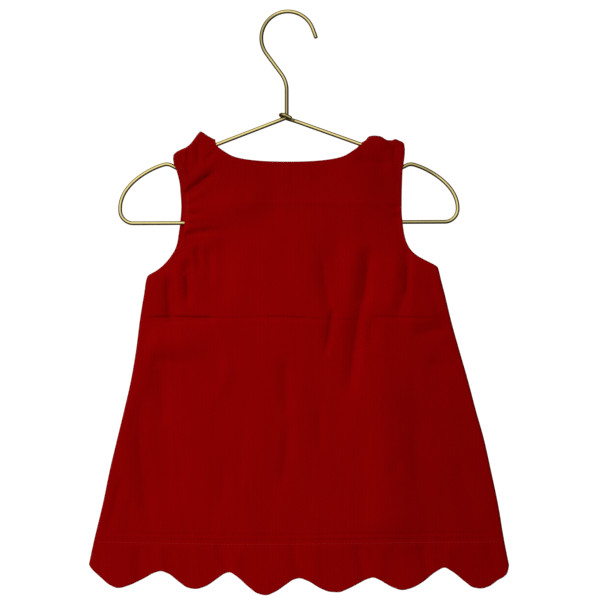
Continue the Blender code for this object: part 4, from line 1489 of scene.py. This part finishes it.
@dataclass
class TopStitching:
    """Rows of stitches along a panel's edges, over its straps and along its hem's facing.

    Attributes:
        panel: The panel that they are sewn through.
        stitch: Length of a stitch.
        gap: Between one stitch and the next.
        inset: From a free edge to its row of stitches.
        armpit_gap: How far above the armpit an armhole's row ends.
        steepest: Limit of how much a slanting edge stretches the inset.
        reads_down, reads_across: At how many points a tab's row is read.
    """

    panel: ClothPanel
    stitch: float = 2.3
    gap: float = 0.55
    inset: float = 3.1
    armpit_gap: float = 6.0
    steepest: float = 2.2
    reads_down: int = 60
    reads_across: int = 40

    def edge_row(self, edge: Edge) -> tuple[Array, Array]:
        """Return the grid's rows and columns beside an armhole, up to the last row."""
        points = self.panel.grid.points
        armpit = self.panel.cut.armpit_left if edge is Edge.LEFT else self.panel.cut.armpit_right
        count = points.shape[1]
        rows, columns = [], []
        for row, line in enumerate(points[:, ::1 if edge is Edge.LEFT else -1]):
            if -line[0, 2] > armpit - self.armpit_gap or math.isnan(line[0, 0]):
                continue
            near = line[: self.panel.edge_columns + self.panel.strap_columns]
            inside = np.abs(near[:, 0] - near[0, 0])
            column = float(np.interp(self.slanted(row, edge), inside, np.arange(len(near))))
            rows.append(float(row))
            columns.append(column if edge is Edge.LEFT else count - 1 - column)
        return np.array(rows), np.array(columns)

    def slanted(self, row: int, edge: Edge) -> float:
        """Return the inset across at a row, where the edge may run at a slant."""
        points = self.panel.grid.points
        column = 0 if edge is Edge.LEFT else -1
        low, high = points[max(0, row - 2), column], points[min(row + 2, len(points) - 1), column]
        run = np.hypot(high[1] - low[1], high[2] - low[2])
        slant = abs(high[0] - low[0]) / max(run, 0.5)
        return self.inset * min(math.hypot(1.0, slant), self.steepest)

    def tab_rows(self, edge: Edge) -> tuple[Array, Array]:
        """Return the rows and columns along a tab's end and its neck side."""
        panel = self.panel
        points = panel.grid.points
        columns = panel.strap_ranges()[edge]
        last = len(points) - 1 - self.inset / (panel.cut.tab_length / panel.tab_rows)
        first = len(points) - panel.tab_rows - panel.fold_rows - 1
        wide = columns.stop - columns.start - 1
        width = abs(points[-1, columns.start, 0] - points[-1, columns.stop - 1, 0])
        step = self.inset / (width / wide)
        inner = columns.stop - 1 - step if edge is Edge.LEFT else columns.start + step
        outer = columns.start + step if edge is Edge.LEFT else columns.stop - 1 - step
        down = np.linspace(first, last, self.reads_down)
        across = np.linspace(inner, outer, self.reads_across)
        rows = np.concatenate((down, np.full(len(across), last)))
        return rows, np.concatenate((np.full(len(down), inner), across))

    def neck_row(self) -> tuple[Array, Array]:
        """Return the rows and columns along the neckline."""
        panel = self.panel
        first = panel.edge_columns + panel.strap_columns + 1
        columns = np.arange(first, first + panel.neck_columns - 1)
        last = panel.hem_rows + panel.level_rows + panel.yoke_rows - 1
        rows = []
        for column in columns:
            line = panel.grid.points[: last + 1, column]
            slope = panel.cut.neck_slope(line[-1, 0], panel.neck_depth)
            drop = -line[-1, 2] + (self.inset - panel.cut.roll) * math.hypot(1.0, float(slope))
            rows.append(float(np.interp(-drop, line[:, 2], np.arange(last + 1))))
        return np.array(rows), columns.astype(float)

    def hem_row(self) -> tuple[Array, Array]:
        """Return the rows and columns along the hem's facing."""
        panel = self.panel
        columns = np.arange(panel.edge_columns, panel.grid.points.shape[1] - panel.edge_columns)
        rows = []
        for column in columns:
            line = panel.grid.points[: panel.hem_rows + panel.level_rows, column]
            drop = float(panel.hem_line_at(line[panel.hem_rows, 0]))
            rows.append(float(np.interp(-drop, line[:, 2], np.arange(len(line)))))
        return np.array(rows), columns.astype(float)

    def lay(self, rows: Array, columns: Array) -> tuple[Array, Array, Array]:
        """Lay stitches along a line of the grid.

        Args:
            rows: Row numbers along the line, with fractions.
            columns: Column numbers.

        Returns:
            The stitches' middles, the vectors to their ends, and the normals there.
        """
        points, normals = self.panel.grid.sample(rows, columns)
        run = np.concatenate(([0.0], np.cumsum(np.linalg.norm(np.diff(points, axis=0), axis=1))))
        places = np.arange(self.stitch, run[-1] - self.stitch, self.stitch + self.gap)

        def read(values: Array, at: Array) -> Array:
            """Return values read at lengths along the line."""
            return together(*(np.interp(at, run, part) for part in values.T))

        half = self.stitch / 2.0
        along = (read(points, places + half) - read(points, places - half)) / 2.0
        return read(points, places), along, unit(read(normals, places))

    def build_edges(self, name: str, finish: Material) -> Piece:
        """Make the stitches of the neckline, the armholes and the tabs as one piece."""
        lines = [self.neck_row()]
        for edge in Edge:
            lines.append(self.edge_row(edge))
            if self.panel.buttoned_to is not None:
                lines.append(self.tab_rows(edge))
        laid = [self.lay(*line) for line in lines]
        return Strands().build(name, *(np.concatenate(part) for part in zip(*laid)), finish)

    def build_hem(self, name: str, finish: Material) -> Piece:
        """Make the stitches of the hem's facing."""
        return Strands().build(name, *self.lay(*self.hem_row()), finish)


@dataclass
class Buttonhole:
    """A worked slot in a tab, mostly hidden by its button: dense bars with a tack at each end."""

    length: float = 15.0
    bar: float = 1.5
    pitch: float = 0.42
    spread: float = 0.95
    tack_off: float = 0.5
    tack_places: Triple = (-0.6, 0.0, 0.6)

    def build(self, name: str, panel: ClothPanel, across: float, drop: float,
              finish: Material) -> Piece:
        """Make the buttonhole.

        Args:
            name: The piece's name.
            panel: The panel whose tab it is in.
            across: Its middle across.
            drop: Its middle's drop.
            finish: Material of the thread.

        Returns:
            The piece.
        """
        count = int(self.length / self.pitch)
        down = np.linspace(-self.length / 2.0, self.length / 2.0, count)
        places = [(side * self.spread, off) for side in (-1, 1) for off in down]
        tack = self.length / 2.0 + self.tack_off
        tacks = [(side, end * tack) for end in (-1, 1) for side in self.tack_places]
        offsets = np.array(places + tacks)
        middle_across, middle_drop = across + offsets[:, 0], drop + offsets[:, 1]
        face = panel.tab_face(middle_across, middle_drop)
        centres = together(middle_across, face, -middle_drop)
        along = np.zeros_like(centres)
        along[:, 0] = self.bar / 2.0
        along[-len(tacks) :, 0] *= 2.0
        up = np.tile((0.0, 1.0, 0.0), (len(centres), 1))
        return Strands(radius=0.2, sink=0.16, rise=0.12).build(name, centres, along, up, finish)


@dataclass
class ButtonThread:
    """The thread that holds a button: two bars between its holes, and a stem behind it."""

    strands: int = 3
    radius: float = 0.22
    lift: float = 0.12
    overhang: float = 0.25
    stem_radius: float = 0.9
    stem_strands: int = 8
    stem_half: float = 0.75
    stem_depth: float = 0.3

    def build(self, name: str, node: str, button: Button, finish: Material) -> Piece:
        """Make the thread of one button.

        Args:
            name: The piece's name.
            node: The button's solid.
            button: The button's sizes.
            finish: The thread's material.

        Returns:
            The piece.
        """
        low, high = (Vector(corner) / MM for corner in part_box(node))
        middle = (low + high) / 2.0
        floor = low.y + button.thick - button.dish
        centres, along, up = [], [], []
        for side in (-1, 1):
            for strand in range(self.strands):
                shift = (strand - (self.strands - 1) / 2.0) * self.radius * 1.7
                across = middle.x + side * button.hole_reach + shift
                centres.append((across, floor + self.lift, middle.z))
                along.append((0.0, 0.0, button.hole_reach + self.overhang))
                up.append((0.0, 1.0, 0.0))
        for angle in angles_round(self.stem_strands):
            x = middle.x + self.stem_radius * math.cos(angle)
            z = middle.z + self.stem_radius * math.sin(angle)
            centres.append((x, low.y - self.stem_depth, z))
            along.append((0.0, self.stem_half, 0.0))
            up.append((math.cos(angle), 0.0, math.sin(angle)))
        return Strands(radius=self.radius, sink=0.5, rise=0.2).build(
            name, np.array(centres), np.array(along), np.array(up), finish, "button"
        )


class NodeDesk:
    """Adds nodes to one tree and joins them."""

    def __init__(self, tree: NodeTree) -> None:
        """Start work on a tree."""
        self.tree = tree

    def add(self, kind: str, **settings: object) -> Node:
        """Add a node of a kind and give its settings."""
        node = self.tree.nodes.new(kind)
        for name, value in settings.items():
            setattr(node, name, value)
        return node

    def feed(self, socket: Socket, value: Socket | float | tuple) -> None:
        """Give an input a constant, or join an output to it."""
        if isinstance(value, Socket):
            self.tree.links.new(value, socket)
        else:
            socket.default_value = value

    def math(self, operation: str, first: Socket | float, second: Socket | float = 0.0) -> Socket:
        """Return the result of a sum on one or two values."""
        node = self.add("ShaderNodeMath", operation=operation)
        self.feed(node.inputs[0], first)
        self.feed(node.inputs[1], second)
        return node.outputs[0]

    def blend(self, share: Socket | float, first: Socket | Colour, second: Socket | Colour) -> Socket:
        """Return a colour mixed from two."""
        node = self.add("ShaderNodeMix", data_type="RGBA", clamp_factor=True)
        self.feed(node.inputs["Factor"], share)
        for name, value in (("A", first), ("B", second)):
            socket = next(s for s in node.inputs if s.name == name and s.type == "RGBA")
            self.feed(socket, value if isinstance(value, Socket) else (*value, 1.0))
        return next(s for s in node.outputs if s.type == "RGBA")

    def noise(self, vector: Socket, scale: Socket | float, detail: float = 2.0) -> Socket:
        """Return a cloudy value around a half."""
        node = self.add("ShaderNodeTexNoise")
        self.feed(node.inputs["Vector"], vector)
        self.feed(node.inputs["Scale"], scale)
        node.inputs["Detail"].default_value = detail
        return node.outputs["Fac"]

    def spread(self, value: Socket, low: float, high: float, to_low: float, to_high: float) -> Socket:
        """Return a value stretched smoothly from one range onto another."""
        node = self.add("ShaderNodeMapRange", interpolation_type="SMOOTHSTEP")
        for name, given in zip(
            ("Value", "From Min", "From Max", "To Min", "To Max"), (value, low, high, to_low, to_high)
        ):
            self.feed(node.inputs[name], given)
        return node.outputs["Result"]

    def stretched(self, vector: Socket, scales: Triple) -> Socket:
        """Return a vector scaled along each axis."""
        node = self.add("ShaderNodeVectorMath", operation="MULTIPLY")
        self.feed(node.inputs[0], vector)
        node.inputs[1].default_value = scales
        return node.outputs["Vector"]

    def mixed(self, share: Socket, first: Socket, second: Socket) -> Socket:
        """Return a shader mixed from two."""
        node = self.add("ShaderNodeMixShader")
        for place, value in enumerate((share, first, second)):
            self.feed(node.inputs[place], value)
        return node.outputs["Shader"]

    def scaled(self, vector: Socket, share: Socket) -> Socket:
        """Return a vector or a colour scaled by one value."""
        node = self.add("ShaderNodeVectorMath", operation="SCALE")
        self.feed(node.inputs[0], vector)
        self.feed(node.inputs["Scale"], share)
        return node.outputs["Vector"]

    def axes(self, vector: Socket) -> bpy.types.NodeOutputs:
        """Return a vector's parts, by the names of the axes."""
        node = self.add("ShaderNodeSeparateXYZ")
        self.feed(node.inputs[0], vector)
        return node.outputs


class Effects:
    """Node groups that several finishes share, each built once."""

    def __init__(self) -> None:
        """Build the groups."""
        self.tone = self.make_tone()
        self.grain = self.make_grain()

    @staticmethod
    def socket(group: NodeTree, name: str, way: str, kind: str, value: float | None = None) -> None:
        """Give a group a named input or output."""
        made = group.interface.new_socket(name=name, in_out=way, socket_type=f"NodeSocket{kind}")
        if value is not None:
            made.default_value = value

    def make_tone(self) -> NodeTree:
        """Build the group that makes a colour and a roughness slightly uneven."""
        group = bpy.data.node_groups.new("uneven_tone", "ShaderNodeTree")
        self.socket(group, "Vector", "INPUT", "Vector")
        self.socket(group, "Colour", "INPUT", "Color")
        self.socket(group, "Scale", "INPUT", "Float", 60.0)
        self.socket(group, "Amount", "INPUT", "Float", 0.1)
        self.socket(group, "Roughness", "INPUT", "Float", 0.5)
        self.socket(group, "Colour", "OUTPUT", "Color")
        self.socket(group, "Roughness", "OUTPUT", "Float")
        desk = NodeDesk(group)
        given, result = desk.add("NodeGroupInput"), desk.add("NodeGroupOutput")
        cloud = desk.noise(given.outputs["Vector"], given.outputs["Scale"], 4.0)
        swing = desk.math("MULTIPLY", desk.math("SUBTRACT", cloud, 0.5), given.outputs["Amount"])
        lift = desk.math("ADD", 1.0, desk.math("MULTIPLY", swing, 2.0))
        desk.feed(result.inputs["Colour"], desk.scaled(given.outputs["Colour"], lift))
        rough = desk.math("ADD", given.outputs["Roughness"], swing)
        desk.feed(result.inputs["Roughness"], rough)
        return group

    def make_grain(self) -> NodeTree:
        """Build the group of fine scratches and pits that wear leaves on a hard surface."""
        group = bpy.data.node_groups.new("fine_grain", "ShaderNodeTree")
        self.socket(group, "Vector", "INPUT", "Vector")
        self.socket(group, "Scale", "INPUT", "Float", 2000.0)
        self.socket(group, "Height", "OUTPUT", "Float")
        desk = NodeDesk(group)
        given, result = desk.add("NodeGroupInput"), desk.add("NodeGroupOutput")
        fine = desk.noise(given.outputs["Vector"], given.outputs["Scale"], 3.0)
        pits = desk.add("ShaderNodeTexVoronoi")
        desk.feed(pits.inputs["Vector"], given.outputs["Vector"])
        desk.feed(pits.inputs["Scale"], desk.math("MULTIPLY", given.outputs["Scale"], 0.4))
        height = desk.math("ADD", fine, desk.math("MULTIPLY", pits.outputs["Distance"], 0.5))
        desk.feed(result.inputs["Height"], height)
        return group


@dataclass(frozen=True)
class Finish:
    """What every finish of the dress has.

    Attributes:
        name: The material's name.
        colour: Its base colour.
        roughness: Its roughness.
        uneven: How uneven its tone is.
        uneven_scale: Scale of that unevenness, per metre.
    """

    name: str
    colour: Colour
    roughness: float
    uneven: float = 0.1
    uneven_scale: float = 60.0

    def start(self) -> tuple[Material, NodeDesk, Node, Socket]:
        """Make the material and return it with its desk, its shader and its coordinates."""
        material = bpy.data.materials.new(self.name)
        material.use_nodes = True
        desk = NodeDesk(material.node_tree)
        shader = material.node_tree.nodes["Principled BSDF"]
        return material, desk, shader, desk.add("ShaderNodeTexCoord").outputs["Object"]

    def tone(self, desk: NodeDesk, shader: Node, effects: Effects, place: Socket,
             colour: Socket | None = None) -> None:
        """Feed the shader a slightly uneven colour and roughness.

        Args:
            desk: The material's desk.
            shader: Its shader.
            effects: The shared groups.
            place: Coordinates on the piece.
            colour: A colour to use instead of the finish's own.
        """
        group = desk.add("ShaderNodeGroup", node_tree=effects.tone)
        desk.feed(group.inputs["Vector"], place)
        desk.feed(group.inputs["Colour"], colour or (*self.colour, 1.0))
        desk.feed(group.inputs["Scale"], self.uneven_scale)
        desk.feed(group.inputs["Amount"], self.uneven)
        desk.feed(group.inputs["Roughness"], self.roughness)
        desk.feed(shader.inputs["Base Color"], group.outputs["Colour"])
        desk.feed(shader.inputs["Roughness"], group.outputs["Roughness"])

    @staticmethod
    def relief(desk: NodeDesk, shader: Node, height: Socket, depth: float) -> None:
        """Feed the shader's normal from a height between 0 and 1.

        Args:
            desk: The material's desk.
            shader: Its shader.
            height: The height.
            depth: How many metres a height of 1 stands for.
        """
        bump = desk.add("ShaderNodeBump")
        bump.inputs["Strength"].default_value = 1.0
        bump.inputs["Distance"].default_value = depth
        desk.feed(bump.inputs["Height"], height)
        desk.feed(shader.inputs["Normal"], bump.outputs["Normal"])


@dataclass(frozen=True)
class GrainedFinish(Finish):
    """A finish with fine scratches and pits.

    Attributes:
        grain_scale: How fine they are, per metre.
        grain_depth: How deep they are, in millimetres.
    """

    grain_scale: float = 1100.0
    grain_depth: float = 0.003

    def grained(self, desk: NodeDesk, shader: Node, effects: Effects, place: Socket) -> None:
        """Feed the shader's normal from the shared grain.

        Args:
            desk: The material's desk.
            shader: Its shader.
            effects: The shared groups.
            place: Coordinates on the piece.
        """
        grain = desk.add("ShaderNodeGroup", node_tree=effects.grain)
        desk.feed(grain.inputs["Vector"], place)
        grain.inputs["Scale"].default_value = self.grain_scale
        self.relief(desk, shader, grain.outputs["Height"], self.grain_depth * MM)


@dataclass(frozen=True)
class Needlecord(Finish):
    """Fine-ribbed brushed cotton, its ribs running down the dress.

    Attributes:
        pitch: From rib to rib, in millimetres.
        height: Of the ribs, in millimetres.
        groove_shade: How much painted shade darkens the colour between the ribs.
        wander: How far the ribs stray sideways, in millimetres.
        sheen: Weight of the nap's sheen.
        sheen_tint: Its colour.
        gloss: Level of the plain reflection.
        painted_light_centre: Where the painted light on the cloth is brightest.
        painted_light_falloff: How much painted shade darkens the colour away from there, above it and to
            the sides.
    """

    pitch: float = 1.18
    height: float = 0.05
    groove_shade: float = 0.22
    wander: float = 0.7
    sheen: float = 0.2
    sheen_tint: Colour = (0.9, 0.02, 0.03)
    gloss: float = 0.12
    painted_light_centre: Mark = Mark(-35.0, 262.0)
    painted_light_falloff: float = 0.14

    def material(self, effects: Effects) -> Material:
        """Make the material of the cloth's right side."""
        made, desk, shader, place = self.start()
        axes = desk.axes(place)
        drift = desk.noise(place, 22.0, 1.0)
        stray = desk.math("MULTIPLY", desk.math("SUBTRACT", drift, 0.5), self.wander * MM)
        across = desk.math("ADD", axes["X"], stray)
        turns = desk.math("MULTIPLY", across, 2.0 * math.pi / (self.pitch * MM))
        wave = desk.math("ADD", 0.5, desk.math("MULTIPLY", desk.math("SINE", turns), 0.5))
        rib = desk.math("POWER", wave, 0.6)
        nap = desk.noise(desk.stretched(place, (1.0, 1.0, 0.35)), 900.0, 3.0)
        pile = desk.math("ADD", rib, desk.math("MULTIPLY", nap, 0.35))
        # Painted shade: the colour is darker in the grooves between the ribs.
        groove = tuple(part * (1.0 - self.groove_shade) for part in self.colour)
        ribbed = desk.blend(rib, groove, self.colour)
        streak = desk.noise(desk.stretched(place, (1.0, 1.0, 0.12)), 160.0, 4.0)
        brushed = desk.scaled(ribbed, desk.spread(streak, 0.25, 0.75, 0.97, 1.03))
        # Painted shade: the colour darkens above painted_light_centre and towards both sides, standing
        # in for the key light's falloff.
        centred = desk.add("ShaderNodeVectorMath", operation="SUBTRACT")
        desk.feed(centred.inputs[0], place)
        centred.inputs[1].default_value = self.painted_light_centre.point()
        apart = desk.axes(centred.outputs["Vector"])
        shade_above = desk.spread(apart["Z"], 0.055, 0.135, 0.0, self.painted_light_falloff)
        beside = desk.math("ABSOLUTE", desk.math("SUBTRACT", apart["X"], 0.03))
        sideways = desk.spread(beside, 0.05, 0.18, 0.0, self.painted_light_falloff * 0.65)
        painted_shade = desk.math("SUBTRACT", 1.0, desk.math("ADD", shade_above, sideways))
        self.tone(desk, shader, effects, place, desk.scaled(brushed, painted_shade))
        self.relief(desk, shader, pile, self.height * MM)
        shader.inputs["Sheen Weight"].default_value = self.sheen
        shader.inputs["Sheen Roughness"].default_value = 0.45
        shader.inputs["Sheen Tint"].default_value = (*self.sheen_tint, 1.0)
        shader.inputs["Specular IOR Level"].default_value = self.gloss
        shader.inputs["Specular Tint"].default_value = (1.0, 0.05, 0.05, 1.0)
        return made


@dataclass(frozen=True)
class WrongSide(Finish):
    """The flat, plainly woven back of the cord."""

    thread_pitch: float = 0.55

    def material(self, effects: Effects) -> Material:
        """Make the material of the cloth's wrong side."""
        made, desk, shader, place = self.start()
        axes = desk.axes(place)
        rate = 2.0 * math.pi / (self.thread_pitch * MM)
        warp = desk.math("SINE", desk.math("MULTIPLY", axes["X"], rate))
        weft = desk.math("SINE", desk.math("MULTIPLY", axes["Z"], rate))
        weave = desk.math("ADD", 0.5, desk.math("MULTIPLY", desk.math("MULTIPLY", warp, weft), 0.5))
        dark = tuple(part * 0.6 for part in self.colour)
        woven = desk.blend(weave, dark, self.colour)
        self.tone(desk, shader, effects, place, woven)
        self.relief(desk, shader, weave, 0.04 * MM)
        shader.inputs["Specular IOR Level"].default_value = 0.1
        shader.inputs["Specular Tint"].default_value = (1.0, 0.05, 0.05, 1.0)
        return made


@dataclass(frozen=True)
class BrassWire(GrainedFinish):
    """Drawn wire with a thin brass colour and fine scratches, darkened by painted shade on some
    stretches.

    Attributes:
        painted_shade_places: Middle of each stretch with painted shade.
        painted_shade_reach: How far along the wire the painted shade goes from its middle.
        painted_shade_depth: How much darker the painted shade makes the colour there.
    """

    painted_shade_places: tuple[Mark, ...] = (
        Mark(114.0, 139.0), Mark(128.0, 183.0), Mark(106.0, 183.0), Mark(-19.0, 17.0), Mark(0.0, 79.0)
    )
    painted_shade_reach: float = 24.0
    painted_shade_depth: float = 0.45

    def material(self, effects: Effects) -> Material:
        """Make the wire's material."""
        made, desk, shader, place = self.start()
        # Painted shade: the colour darkens round each of painted_shade_places, standing in for stretches
        # that the lamps light less.
        wire_shade: Socket | float = 0.0
        for middle in self.painted_shade_places:
            apart = desk.add("ShaderNodeVectorMath", operation="DISTANCE")
            desk.feed(apart.inputs[0], place)
            apart.inputs[1].default_value = middle.point()
            reach = self.painted_shade_reach * MM
            near = desk.spread(apart.outputs["Value"], 0.4 * reach, reach, 1.0, 0.0)
            wire_shade = desk.math("MAXIMUM", wire_shade, near)
        dark = tuple(part * (1.0 - self.painted_shade_depth) for part in self.colour)
        self.tone(desk, shader, effects, place, desk.blend(wire_shade, self.colour, dark))
        self.grained(desk, shader, effects, place)
        shader.inputs["Metallic"].default_value = 1.0
        shader.inputs["Specular Tint"].default_value = (0.55, 0.42, 0.2, 1.0)
        return made


@dataclass(frozen=True)
class ButtonResin(GrainedFinish):
    """Polished resin, slightly clouded."""

    grain_scale: float = 900.0
    grain_depth: float = 0.01

    def material(self, effects: Effects) -> Material:
        """Make the buttons' material."""
        made, desk, shader, place = self.start()
        self.tone(desk, shader, effects, place)
        self.grained(desk, shader, effects, place)
        shader.inputs["Coat Weight"].default_value = 0.3
        shader.inputs["Coat Roughness"].default_value = 0.15
        return made


@dataclass(frozen=True)
class SewingThread(GrainedFinish):
    """Twisted thread."""

    grain_scale: float = 3000.0
    grain_depth: float = 0.05

    def material(self, effects: Effects) -> Material:
        """Make the thread's material."""
        made, desk, shader, place = self.start()
        self.tone(desk, shader, effects, place)
        self.grained(desk, shader, effects, place)
        shader.inputs["Specular IOR Level"].default_value = 0.2
        return made


@dataclass
class Studio:
    """A pale floor, soft light from the upper left and the camera at the photo's angle."""

    across: float = 10.65
    drop: float = 252.1
    distance: float = 3000.0
    frame_width: float = 528.0
    sensor: float = 36.0
    floor_drop: float = 620.0
    floor_size: float = 12000.0

    def camera(self) -> None:
        """Add the camera, level and looking along +Y."""
        lens = bpy.data.cameras.new("camera")
        lens.sensor_width = self.sensor
        lens.lens = self.sensor * self.distance / self.frame_width
        lens.clip_end = 100.0
        made = bpy.data.objects.new("camera", lens)
        made.location = (self.across * MM, -self.distance * MM, -self.drop * MM)
        made.rotation_euler = (math.radians(90.0), 0.0, 0.0)
        bpy.context.scene.collection.objects.link(made)
        bpy.context.scene.camera = made

    def floor(self) -> None:
        """Add the floor: white paper to the camera, and dim to everything else."""
        half = self.floor_size / 2.0
        count = 9
        lines = np.linspace(-half, half, count)
        grid = together(*np.meshgrid(lines, lines)).reshape(-1, 2)
        points = np.concatenate((grid, np.full((len(grid), 1), -self.floor_drop)), axis=1)
        index = np.arange(count * count).reshape(count, count)
        faces = together(index[:-1, :-1], index[:-1, 1:], index[1:, 1:], index[1:, :-1]).reshape(-1, 4)
        material = bpy.data.materials.new("floor_paper")
        material.use_nodes = True
        desk = NodeDesk(material.node_tree)
        shader = material.node_tree.nodes["Principled BSDF"]
        place = desk.add("ShaderNodeTexCoord").outputs["Object"]
        paper = desk.spread(desk.noise(place, 3.0, 3.0), 0.2, 0.8, 0.86, 0.9)
        tint = desk.add("ShaderNodeCombineColor")
        for name in ("Red", "Green", "Blue"):
            desk.feed(tint.inputs[name], paper)
        desk.feed(shader.inputs["Base Color"], tint.outputs["Color"])
        shader.inputs["Roughness"].default_value = 0.9
        glow = desk.add("ShaderNodeEmission")
        glow.inputs["Strength"].default_value = 1.1
        seen = desk.add("ShaderNodeLightPath").outputs["Is Camera Ray"]
        mixed = desk.mixed(seen, shader.outputs["BSDF"], glow.outputs["Emission"])
        desk.feed(material.node_tree.nodes["Material Output"].inputs["Surface"], mixed)
        made = add_object("floor", points, faces.tolist(), [material], np.zeros(len(faces)))
        made.visible_glossy = False
        made.visible_diffuse = False

    def sky(self) -> None:
        """Surround the dress with white to the camera and a dim slanting light to the cloth."""
        world = bpy.data.worlds.new("room")
        world.use_nodes = True
        desk = NodeDesk(world.node_tree)
        place = desk.add("ShaderNodeTexCoord").outputs["Generated"]
        axes = desk.axes(place)
        up = desk.math("MULTIPLY", axes["Z"], 0.75)
        left = desk.math("MULTIPLY", axes["X"], -0.45)
        slant = desk.spread(desk.math("ADD", up, left), -0.35, 0.75, 0.12, 0.6)
        before = desk.math("MULTIPLY", axes["Y"], -0.93)
        ahead = desk.math("MAXIMUM", before, desk.math("MULTIPLY", axes["Y"], 0.8))
        mirrored = desk.math("ADD", ahead, desk.math("MULTIPLY", desk.math("ADD", up, left), 0.5))
        glint = desk.spread(mirrored, 0.52, 1.04, 0.035, 1.2)
        path = desk.add("ShaderNodeLightPath")
        strength = desk.add("ShaderNodeMix", data_type="FLOAT")
        desk.feed(strength.inputs["Factor"], path.outputs["Is Glossy Ray"])
        desk.feed(strength.inputs["A"], slant)
        desk.feed(strength.inputs["B"], glint)
        dim = desk.add("ShaderNodeBackground")
        desk.feed(dim.inputs["Strength"], strength.outputs["Result"])
        white = desk.add("ShaderNodeBackground")
        white.inputs["Strength"].default_value = 1.1
        for shade in (dim, white):
            shade.inputs["Color"].default_value = (1.0, 1.0, 1.0, 1.0)
        seen = path.outputs["Is Camera Ray"]
        mixed = desk.mixed(seen, dim.outputs["Background"], white.outputs["Background"])
        desk.feed(world.node_tree.nodes["World Output"].inputs["Surface"], mixed)
        bpy.context.scene.world = world

    def lamp(self, name: str, place: Triple, size: float, power: float) -> None:
        """Add a square soft light that looks at the dress.

        Args:
            name: Its name.
            place: Where it stands, in metres.
            size: Its side, in metres.
            power: Its power, in watts.
        """
        light = bpy.data.lights.new(name, "AREA")
        light.size = size
        light.energy = power
        made = bpy.data.objects.new(name, light)
        made.location = place
        aim = Vector((0.0, 0.0, -self.drop * MM)) - Vector(place)
        made.rotation_euler = aim.to_track_quat("-Z", "Y").to_euler()
        made.visible_glossy = False
        bpy.context.scene.collection.objects.link(made)

    def build(self) -> None:
        """Set up the camera, the floor and the light."""
        self.camera()
        self.floor()
        self.sky()
        self.lamp("key", (-0.97, -1.9, 0.26), 0.7, 50.3)
        self.lamp("fill", (1.7, -1.9, -0.1), 1.6, 2.0)
        self.lamp("back_fill", (1.35, 1.8, 0.4), 0.9, 52.0)
        view = bpy.context.scene.view_settings
        view.view_transform = "Standard"
        view.look = "None"


def log_piece(piece: Piece) -> None:
    """Report a piece's name and how many triangles it has."""
    triangles = sum(len(face.vertices) - 2 for face in piece.data.polygons)
    LOG.info("%s: %d triangles", piece.name, triangles)


def main() -> None:
    """Build the hanger, the two panels and what is sewn to them, and light them."""
    logging.basicConfig(level=logging.INFO, format="%(name)s: %(message)s")
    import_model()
    effects = Effects()
    cord = Needlecord("red_needlecord", (0.215, 0.0001, 0.0003), 0.85, 0.04, 30.0).material(effects)
    wrong = WrongSide("cord_wrong_side", (0.17, 0.0004, 0.0012), 0.9).material(effects)
    brass = BrassWire("brass_wire", (0.8, 0.67, 0.27), 0.17, 0.08, 240.0).material(effects)
    resin = ButtonResin("button_resin", (0.19, 0.002, 0.004), 0.35, 0.1, 300.0).material(effects)
    # This thread's lighter colour is a painted sheen along the hem's line of stitches; the edge thread
    # keeps the cloth's tone.
    thread = SewingThread("thread_with_painted_sheen", (0.3, 0.003, 0.006), 0.7, 0.1, 900.0).material(effects)
    plain_thread = SewingThread("edge_thread", (0.22, 0.001, 0.002), 0.8, 0.1, 900.0).material(effects)

    cut = DressCut()
    front = ClothPanel(
        "front_panel_cloth", "front_panel", Side.FRONT, cut, 48.0, FRONT_FOLDS, Ripples(seed=23),
        belly_share=0.9, hem_rise=1.5, yoke_row=184.0, peek=3.0, tuck=1.2, strap_tuck=0.6,
    )
    back = ClothPanel(
        "back_panel_cloth", "back_panel", Side.BACK, cut, 13.6, BACK_FOLDS, Ripples(),
        buttoned_to=front, set_in=curve_down(BACK_SET_IN),
    )
    pieces = [front.build(cord, wrong), back.build(cord, wrong)]
    pieces.append(WireHanger().build(brass))
    for side in ("left", "right"):
        pieces.append(Button().build(f"{side}_button", f"button_{side}", resin))
    for side, panel in (("front", front), ("back", back)):
        stitching = TopStitching(panel)
        pieces.append(stitching.build_edges(f"{side}_edge_stitching", plain_thread))
        pieces.append(stitching.build_hem(f"{side}_hem_stitching", thread))
    for side in ("left", "right"):
        low, high = (Vector(corner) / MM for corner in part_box(f"button_{side}"))
        middle = (low + high) / 2.0
        pieces.append(Buttonhole().build(f"{side}_buttonhole", back, middle.x, -middle.z, thread))
        pieces.append(ButtonThread().build(f"{side}_button_thread", f"button_{side}", Button(), thread))
    for piece in pieces:
        log_piece(piece)
    Studio().build()


if __name__ == "__main__":
    main()
